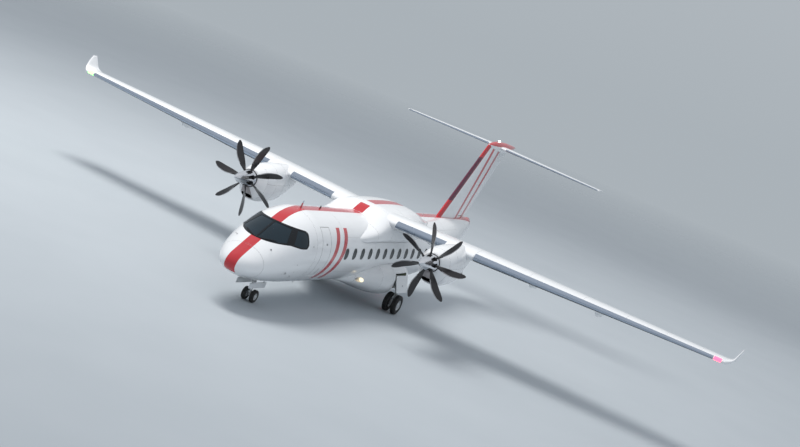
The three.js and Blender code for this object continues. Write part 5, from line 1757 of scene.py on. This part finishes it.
strips = [edge_strip(*row, side) for side in SIDES.values() for row in EDGE_STRIPS]
maroon = [fin_ring(h, lambda s: s.around(0.0018, 0.075, 0.075)) for h in linspace(2.15, 4.3, 22)]
fit("leading_edge_strips", [*strips, loft(maroon, boot_maroon, 50)], "airframe")

# %% [markdown]
# ## Lights
# A red light shines at the left wing tip and a green one at the right, each a lens that continues the
# leading edge. A white light closes the bullet's tail, and two beacons stand on the bullet and under
# the belly.

# %% Position lights and beacons
BEACON = [
    (0, -0.02), (0.075, -0.02), (0.075, 0.006), (0.06, 0.01),
    (0.056, 0.03), (0.045, 0.052), (0.025, 0.066), (0, 0.07),
]
BEACONS = [(at(0, 23.05, 5.16), (0, 0, 1), white_lens), (at(0, 14.62, -1.362), (0, 0, -1), red_lens)]
TAIL_LIGHT = [(0, -0.05), (0.02, -0.05), (0.019, 0), (0.012, 0.016), (0, 0.02)]
lights = [
    edge_strip(wing_at, 14.33, 14.62, 8, 0.003, 0.05, 0.075, lens, side, 60)
    for side, lens in ((1, red_lens), (-1, green_lens))
]
for origin, axis, lens in BEACONS:
    foot = origin[2] - AXIS_HEIGHT
    lights.append(paint_where(turned(BEACON, origin, axis, lens, 32), steel, lambda s, h: abs(h - foot) < 0.012))
lights.append(turned(TAIL_LIGHT, at(0, 25.845, 5.04), (0, 1, 0), clear_lens, 20))
fit("position_lights", lights, "airframe")

# %% [markdown]
# ## Static wicks
# Thin wicks trail from the edges and bleed off static charge. One small tree makes a row of tapered rods,
# and each row rides on the surface that it is fixed to.

# %% Static wicks
net, given, end = tree_with("wick_row", First=(0.0, 0.0, 0.0), Last=(1.0, 0.0, 0.0), Count=4, Length=0.11)
line = {"Count": given["Count"], "Start Location": given["First"], "Offset": given["Last"]}
line = net.geo("MeshLine", line, mode="END_POINTS")
wick = net.geo("MeshCone", {"Vertices": 6, "Radius Top": 0.0015, "Radius Bottom": 0.0035, "Depth": given["Length"]})
wick = net.geo("Transform", {0: wick, "Rotation": (-pi / 2, 0, 0)})
wick_row = end(net.geo("InstanceOnPoints", {"Points": line, "Instance": wick}))

for name, side in SIDES.items():
    for part, section_at, span in (("aileron", wing_at, (11.4, 14.0)), ("elevator", tail_at, (2.6, 4.5))):
        first, last = (at(side * x, section_at(x).station(1) - 0.004, section_at(x).height) for x in span)
        row = grown(wick_row, hose_black, First=first, Last=last, Count=4)
        fit(f"{part}_wicks_{name}", row, f"{part}_{name}")
first, last = (at(0, fin_at(h).station(1) - 0.09 * (h - 1.47) / 3, h - 0.02) for h in (3.2, 4.1))
fit("rudder_wicks", grown(wick_row, hose_black, First=first, Last=last, Count=3, Length=0.1), "rudder")

# %% [markdown]
# ## Wheels
# An aircraft tyre has no blocks, only a few grooves that run round it. The hub is a forging with
# ventilation holes, a bearing cap and tie bolts that hold its two halves together. The bolts are a small
# tree: a circle of hexagonal heads on each side.

# %% Wheels
net, given, end = tree_with("bolt_ring", Centre=(0.0, 0.0, 0.0), Count=10, Ring=0.12, Size=0.01, Reach=0.012)
ring = net.geo("MeshCircle", {"Vertices": given["Count"], "Radius": given["Ring"]})
size = {"Radius Top": given["Size"], "Radius Bottom": given["Size"], "Depth": given["Reach"]}
heads = net.geo("InstanceOnPoints", {"Points": ring, "Instance": net.geo("MeshCone", {"Vertices": 6, **size})})
bolt_ring = end(net.geo("Transform", {0: heads, "Translation": given["Centre"], "Rotation": (0, pi / 2, 0)}))

MAIN_WHEEL = (0.4, 0.11, 0.208, 0.038, 10, 9)  # radius, half width, rim, axle, bolts, holes
NOSE_WHEEL = (0.235, 0.08, 0.122, 0.026, 8, 7)
SIDEWALL = [  # share of the wall's height, share of the half width
    (0, -0.78), (0.05, -0.86), (0.16, -0.9), (0.2, -0.955), (0.45, -1), (0.68, -0.97), (0.86, -0.84), (0.95, -0.7),
]
SEAT = 0.0006  # between a wheel and what it sits on


def tyre_profile(radius, half, rim):
    wall, deep, wide = radius - rim, 0.03 * radius, 0.045
    left = [(rim + share * wall, b) for share, b in SIDEWALL] + [(radius - 0.0015, -0.56)]
    for m in (-0.39, -0.13):
        floor_of = [(radius - deep, m - 0.7 * wide), (radius - deep, m + 0.7 * wide)]
        left += [(radius - 0.0006, m - wide), *floor_of, (radius, m + wide)]
    left = [(a, b * half) for a, b in left]
    return left + [(a, -b) for a, b in reversed(left)] + left[:1]


def hub_profile(half, rim, axle, outward):
    """The hub, from its bore over the web to the rim. Outward is the side that faces away from the leg."""
    thin = 0.28 * half
    out = [
        (axle, half * 0.98), (axle * 1.3, half), (axle * 1.75, half * 0.96), (axle * 1.85, half * 0.62),
        (rim * 0.52, thin * 1.5), (rim * 0.8, thin), (rim - 0.03 * rim / 0.208, thin * 1.4), (rim - 0.022, half * 0.8),
        (rim - 0.016, half * 0.97), (rim - 0.006, half), (rim, half * 0.96),
    ]
    profile = out + [(a, -b) for a, b in reversed(out)] + out[:1]
    return [(a, b * outward) for a, b in profile]


def wheel(centre, size, outward):
    radius, half, rim, axle, bolts, holes = size
    hub = turned(hub_profile(0.8 * half, rim, axle + SEAT, outward), centre, (1, 0, 0), gear_paint, 56)
    drills = []
    for a in turns_of(holes):
        middle = centre + array([0, rim * 0.68 * cos(a), rim * 0.68 * sin(a)])
        drills.append(rod(*on_x(middle, half), rim * 0.095, steel, sides=16))
    cut(hub, joined(*drills))
    parts = [shade(hub, 30)]
    for side in (-1, 1):
        place, heads = centre + (side * 0.324 * half, 0, 0), {"Size": rim * 0.042, "Reach": half * 0.18}
        parts.append(grown(bolt_ring, steel, Centre=place, Count=bolts, Ring=rim * 0.52, **heads))
    valve = [centre + (0, rim * 0.88, 0), centre + (outward * half * 0.55, rim * 0.84, 0)]
    parts.append(rod(*valve, 0.005, chrome, sides=8))
    return parts, turned(tyre_profile(radius, half, rim + SEAT), centre, (1, 0, 0), tyre_rubber, 96, 40)


MAIN_X, MAIN_STATION, MAIN_SPACING, MAIN_AXLE = 1.8, 12.05, 0.185, -1.8
NOSE_SPACING, NOSE_AXLE_STATION, NOSE_AXLE = 0.165, 2.55, -1.965
for name, side in SIDES.items():
    for place, s in (("inner", -1), ("outer", 1)):
        centre, body = at(side * (MAIN_X + s * MAIN_SPACING), MAIN_STATION, MAIN_AXLE), f"main_wheels_{name}"
        hub, rubber = wheel(centre, MAIN_WHEEL, side * s)
        fit(f"main_rim_{place}_{name}", hub, body, "gear_grey", f"main_hub_{place}_{name}")
        fit(f"main_rubber_{place}_{name}", rubber, body, "tyre_rubber", f"main_tyre_{place}_{name}")
    hub, rubber = wheel(at(side * NOSE_SPACING, NOSE_AXLE_STATION, NOSE_AXLE), NOSE_WHEEL, side)
    fit(f"nose_rim_{name}", hub, "nose_wheels", "gear_grey", f"nose_hub_{name}")
    fit(f"nose_rubber_{name}", rubber, "nose_wheels", "tyre_rubber", f"nose_tyre_{name}")

# %% [markdown]
# ## The main legs
# Each leg swings on a long pin in its well. A post and two side braces meet at an elbow, and a shock strut
# goes on down to the axle. Its bright piston slides in the painted cylinder, and scissor links keep the
# wheels from turning about it. Hoses feed the brakes.

# %% Bars and links
def bar_of(start, finish, profile, material=gear_paint, sides=32):
    """A turned bar between two points. Its profile holds the radius by share of the length."""
    long = norm(finish - start)
    points = [(0, 0)] + [(r, t * long) for t, r in profile] + [(0, long)]
    return turned(points, start, finish - start, material, sides)


def mirrored(half):
    """A bar's profile from its first half, when both ends are alike."""
    return half + [(1 - t, r) for t, r in reversed(half)]


def link(start, finish, wide, thick):
    """A flat arm with round ends, as wide along X as it is told."""
    way = unit(finish - start)
    across_way = np.cross(way, (1, 0, 0))
    outline = [
        centre + thick * (way * cos(a) + across_way * sin(a))
        for centre, first in ((finish, -pi / 2), (start, pi / 2))
        for a in linspace(first, first + pi, 9)
    ]
    return loft([array(outline) + (x, 0, 0) for x in (-wide, wide)], gear_paint)


def cross_rod(centre, half, radius):
    return rod(*on_x(centre, half), radius, steel, sides=12)


print("a mirrored profile:", mirrored([(0, 0.01), (0.25, 0.02)]))

# %% The main legs
PIN_X, PIN_HEIGHT, PIN_ENDS, ELBOW = 1.4, -0.8, (11.31, 12.79), -1.29
PIN = mirrored([
    (0, 0.033), (0.004, 0.035), (0.028, 0.035), (0.03, 0.05),
    (0.055, 0.05), (0.058, 0.035), (0.44, 0.035), (0.45, 0.06),
])
POST = [(0, 0.078), (0.08, 0.084), (0.16, 0.076), (0.5, 0.062), (0.86, 0.056), (0.9, 0.068), (1, 0.07)]
CYLINDER = [
    (0, 0.05), (0.03, 0.062), (0.2, 0.066), (0.22, 0.056), (0.8, 0.056), (0.82, 0.062), (0.98, 0.062), (1, 0.055),
]
FOOT = [(0, 0.048), (0.08, 0.053), (0.9, 0.055), (1, 0.05)]
KNUCKLES = mirrored([(0, 0.052), (0.06, 0.06), (0.3, 0.062)])
AXLE = mirrored([(0, 0.018), (0.008, 0.024), (0.03, 0.026), (0.031, 0.038)])
DOOR_BAR = [(0, 0.02), (0.1, 0.022), (0.3, 0.016), (0.9, 0.016), (0.93, 0.022), (1, 0.022)]
BRACE = [(0, 0.036), (0.04, 0.042), (0.1, 0.03), (0.5, 0.026), (0.9, 0.03), (0.95, 0.036), (1, 0.036)]
BRAKE = [
    (0, 0), (0.04, 0), (0.12, 0), (0.132, 0.006), (0.132, 0.016), (0.126, 0.018), (0.126, 0.024), (0.132, 0.026),
    (0.132, 0.04), (0.12, 0.048), (0.04, 0.048), (0, 0.048),
]
CLIP = [(0, -0.008), (0.06, -0.008), (0.064, -0.004), (0.064, 0.004), (0.06, 0.008), (0, 0.008)]
HOSES = [  # x and station from the leg's middle, height
    [(a * out, aft + more, h) for a, more, h in ((1, 0, -1.25), (1.2, 0.02, -1.45), (1.6, 0.05, -1.62))]
    + [(1.6 * out, 0.075, -1.73), (2.2 * out, 0.055, -1.78)]
    for out, aft in ((0.03, 0.062), (-0.03, 0.066))
]


for name, side in SIDES.items():
    x, s = side * MAIN_X, MAIN_STATION
    top = lambda station: at(side * PIN_X, station, PIN_HEIGHT)
    elbow, axle, up = at(x, s, ELBOW), at(x, s, MAIN_AXLE), array((0, 0, 1))
    parts = [
        bar_of(*map(top, PIN_ENDS), PIN),
        bar_of(top(s), elbow, POST),
        bar_of(elbow + 0.075 * up, axle + 0.24 * up, CYLINDER),
        bar_of(axle + 0.26 * up, axle, [(0, 0.043), (1, 0.043)], chrome),
        bar_of(axle + 0.105 * up, axle - 0.02 * up, FOOT),
        bar_of(*on_x(axle, 0.075), KNUCKLES),
        bar_of(*on_x(axle, 0.295), AXLE),
        bar_of(top(s) + 0.5 * (elbow - top(s)), at(side * 1.945, 12.05, -1.0), DOOR_BAR, sides=16),
    ]
    parts += [bar_of(top(station), elbow, BRACE, sides=24) for station in (11.47, 12.67)]
    knee, upper, lower = at(x, s + array((-0.215, -0.07, -0.06)), (-1.56, -1.44, -1.735))
    for hinge in (upper, lower):
        parts.append(rod(hinge + (0, 0.045, 0), hinge - (0, 0.004, 0), 0.02, gear_paint, sides=16))
        parts.append(cross_rod(hinge, 0.04, 0.009))
    parts += [link(upper, knee, 0.024, 0.017), link(lower, knee, 0.014, 0.016), cross_rod(knee, 0.032, 0.009)]
    for out in (-1, 1):  # the brake stacks, in the wells of the hubs
        parts.append(turned(BRAKE, axle + (out * 0.082, 0, 0), (out, 0, 0), steel))
    parts += [tube([at(x + a, s + b, h) for a, b, h in hose], 0.0075, hose_black, 10, 24) for hose in HOSES]
    parts += [turned(CLIP, at(x, s, height), up, steel, 32) for height in (-1.34, -1.46)]
    fit(f"main_strut_{name}", parts, "airframe", "gear_grey", f"main_leg_{name}")

# %% [markdown]
# ## The nose leg
# The cylinder is fixed, and everything below it turns for steering: piston, fork, axle and wheels. The
# scissor links hang from a collar that turns on the cylinder, so they belong to the steering body.

# %% The nose leg
BARREL = [
    (0, 0.05), (0.02, 0.06), (0.05, 0.062), (0.14, 0.062), (0.16, 0.056), (0.72, 0.056), (0.74, 0.062), (0.8, 0.062),
    (0.82, 0.057), (0.94, 0.057), (0.95, 0.062), (0.99, 0.062), (1, 0.056),
]
NOSE_PIN = mirrored([
    (0, 0.026), (0.01, 0.03), (0.07, 0.03), (0.075, 0.042), (0.12, 0.042), (0.125, 0.03), (0.38, 0.03), (0.4, 0.048),
])
NOSE_BRACE = [
    (0, 0.03), (0.12, 0.03), (0.16, 0.022), (0.5, 0.022), (0.52, 0.03), (0.6, 0.03), (0.62, 0.018), (0.9, 0.018),
    (0.93, 0.028), (1, 0.028),
]
BRACE_PIN = mirrored([(0, 0.016), (0.02, 0.018), (0.44, 0.018), (0.45, 0.026)])
NOSE_AXLE_BAR = mirrored([(0, 0.012), (0.01, 0.018), (0.03, 0.019), (0.032, 0.026)])
LAMP_CASE = [
    (0, 0.06), (0.03, 0.058), (0.05, 0.04), (0.062, 0), (0.064, -0.012), (0.06, -0.014), (0.058, -0.006), (0, -0.006),
]
LAMP_LENS = [(0, -0.016), (0.04, -0.012), (0.0575, -0.007), (0.0575, -0.0062), (0, -0.0062)]
COLLAR = [(0.0635, -0.018), (0.076, -0.018), (0.078, -0.012), (0.078, 0.012), (0.076, 0.018), (0.0635, 0.018)]
NUT = [(0, -0.012), (0.05, -0.012), (0.056, -0.004), (0.056, 0.006), (0.048, 0.012), (0, 0.012)]
SPACER = [(0.0265, 0), (0.036, 0), (0.034, 0.055), (0.0265, 0.055)]
FORK = [
    (2.462, -1.832), (2.538, -1.832), (2.586, -1.885), (2.586, -1.985), (2.566, -2.001), (2.534, -2.001),
    (2.514, -1.985), (2.505, -1.925), (2.462, -1.905),
]


def nose(height, station=2.5, x=0.0):
    return at(x, station, height)


up, aft = (0, 0, 1), (0, 1, 0)
hose = [nose(-0.98, 2.58, 0.05), nose(-1.1, 2.555, 0.062), nose(-1.25, 2.53, 0.066), nose(-1.36, 2.52, 0.066)]
fixed = [
    bar_of(nose(-0.96), nose(-1.5), BARREL, sides=40),
    bar_of(*on_x(nose(-1.01), 0.304), NOSE_PIN),
    bar_of(nose(-1.33), nose(-1.06, 2.89), NOSE_BRACE, sides=24),
    bar_of(*on_x(nose(-1.06, 2.89), 0.304), BRACE_PIN, sides=24),
    rod(nose(-1.19, 2.46), nose(-1.19, 2.375), 0.016, gear_paint, sides=16),
    turned(LAMP_CASE, nose(-1.19, 2.33), aft, gear_paint, 32),
    turned(LAMP_LENS, nose(-1.19, 2.33), aft, clear_lens, 32),
    tube(hose, 0.008, hose_black, 10, 24),
]
fit("nose_strut", fixed, "airframe", "gear_grey", "nose_leg")

knee, upper, lower = nose(-1.62, 2.33), nose(-1.44, 2.415), nose(-1.79, 2.435)
axle = nose(NOSE_AXLE, NOSE_AXLE_STATION)
turning = [
    bar_of(nose(-1.262), nose(-1.85), [(0, 0.04), (0.01, 0.042), (1, 0.042)], chrome, 40),
    turned(COLLAR + COLLAR[:1], nose(-1.44), up, gear_paint, 40),
    turned(NUT, nose(-1.815), up, gear_paint, 32),
    slab(rounded(FORK, 0.012), -0.038, 0.038, gear_paint),
    bar_of(*on_x(axle, 0.245), NOSE_AXLE_BAR),
    *(turned(SPACER + SPACER[:1], axle + (out * 0.0385, 0, 0), (out, 0, 0), steel, 32) for out in (-1, 1)),
    link(nose(-1.85, 2.48), nose(-1.85, 2.412), 0.022, 0.021),
    link(upper, knee, 0.022, 0.014),
    link(lower, knee, 0.012, 0.013),
    cross_rod(knee, 0.03, 0.008),
    rod(lower + (0, 0.04, -0.01), lower, 0.016, gear_paint, sides=16),
]
fit("nose_steering_fork", turning, "nose_steering", "gear_grey", "nose_fork")

# %% [markdown]
# ## Landing gear doors
# The doors continue the fairing's curve when they are shut. A door is a grid of points between its four
# corners, pushed out in the middle, then given a thickness and ribs on its inner side.

# %% Door leaves
LEAF_GRID = (28, 12)  # points along the door, and down it
print("points on a face of a door:", LEAF_GRID[0] * LEAF_GRID[1])


def leaf(corners, outward, thick, bulge, radius):
    """A bulged panel between four corners: front and back of the upper edge, then of the lower."""
    a, b, c, d = corners
    tall = norm(c - a)
    u, v = ((1 - cos(linspace(0, pi, count))) / 2 for count in LEAF_GRID)
    layers = []
    for depth in (0.0, thick):
        for y in v:
            near = min(y, 1 - y) * tall
            pull = radius - sqrt(radius**2 - (radius - near) ** 2) if near < radius else 0.0
            front, back = a + y * (c - a), b + y * (d - b)
            way = unit(back - front)
            front, back = front + pull * way, back - pull * way
            lift = depth + bulge * (4 * y * (1 - y) * (1 - (2 * u - 1) ** 6))[:, None]
            layers.append(front + u[:, None] * (back - front) + lift * outward)
    rows, count = len(v), len(u)
    index = np.arange(2 * rows * count).reshape(2, rows, count)
    faces = []
    for layer in index:
        faces += stack([layer[:-1, :-1], layer[:-1, 1:], layer[1:, 1:], layer[1:, :-1]], -1).reshape(-1, 4).tolist()
    rim = [(k, 0) for k in range(rows)] + [(rows - 1, k) for k in range(1, count)]
    rim += [(k, count - 1) for k in range(rows - 2, -1, -1)] + [(0, k) for k in range(count - 2, 0, -1)]
    for (i, j), (m, n) in zip(rim, rim[1:] + rim[:1]):
        faces.append([index[0, i, j], index[0, m, n], index[1, m, n], index[1, i, j]])
    return build(layers, faces, white, 40)

# %% Landing gear doors
MAIN_DOOR = array([(1.745, 11.41, -0.64), (1.745, 12.69, -0.64), (1.985, 11.47, -1.29), (1.985, 12.63, -1.29)])
NOSE_DOOR_X, NOSE_DOOR = 0.2645, array([(1.62, -1.395), (2.94, -1.395), (1.62, -1.608), (2.94, -1.608)])
NOSE_ARM = [(0.004, -1.43), (0.012, -1.2), (0.018, -1.155), (0.042, -1.155), (0.048, -1.2), (0.056, -1.43)]
STIFFENER = array([(1.7, -0.006), (2.86, -0.006), (2.86, 0.006), (1.7, 0.006)])
for name, side in SIDES.items():
    x, station, height = MAIN_DOOR.T
    outward = unit(array([side * 0.65, 0, 0.24]))
    parts = [leaf(at(side * x, station, height), outward, 0.02, 0.012, 0.06)]
    for station in (11.62, 11.9, 12.2, 12.48):
        start, stop = at(side * array((1.7585, 1.9715)), station, (-0.68, -1.25))
        rib = [start - outward * 0.004, stop - outward * 0.004, stop + outward * 0.01, start + outward * 0.01]
        parts.append(loft([[p + (0, shift, 0) for p in rib] for shift in (-0.01, 0.01)], zinc_green))
    fit(f"main_door_{name}", parts, "airframe", "white_paint", f"main_gear_door_{name}")

    x = side * NOSE_DOOR_X
    parts = [leaf(at(x, *NOSE_DOOR.T), array((-side, 0, 0)), 0.016, 0.0, 0.05)]
    for station in (1.818, 2.676):
        parts.append(slab(array(NOSE_ARM) + (station, 0), x - side * 0.013, x, gear_paint))
        ends = at(x - side * 0.0125, (station - 0.005, station + 0.065), -1.175)
        parts.append(rod(*ends, 0.01, steel, sides=16))
    for height in (-1.44, -1.57):
        parts.append(slab(STIFFENER + (0, height), x - side * 0.022, x - side * 0.012, white))
    fit(f"nose_door_{name}", parts, "airframe", "white_paint", f"nose_gear_door_{name}")

# %% [markdown]
# ## Jacking points
# Three flat pads show where the aircraft can be lifted. Each is a short turned boss with a dimple for the
# jack.

# %% Jacking points
PAD = [(0, 0.006), (0.016, 0.004), (0.022, 0), (0.052, 0), (0.06, 0.006), (0.06, 0.06), (0, 0.06)]
PAD_X, PAD_SHARE = 5.4, 0.35
section = wing_at(PAD_X)
low = section.height + section.bend(PAD_SHARE) - section.half(PAD_SHARE) - 0.015
places = [at(0, 3.3, -1.385)] + [at(side * PAD_X, section.station(PAD_SHARE), low) for side in SIDES.values()]
fit("jacking_pads", [turned(PAD, place, up, steel, 40) for place in places], "airframe")
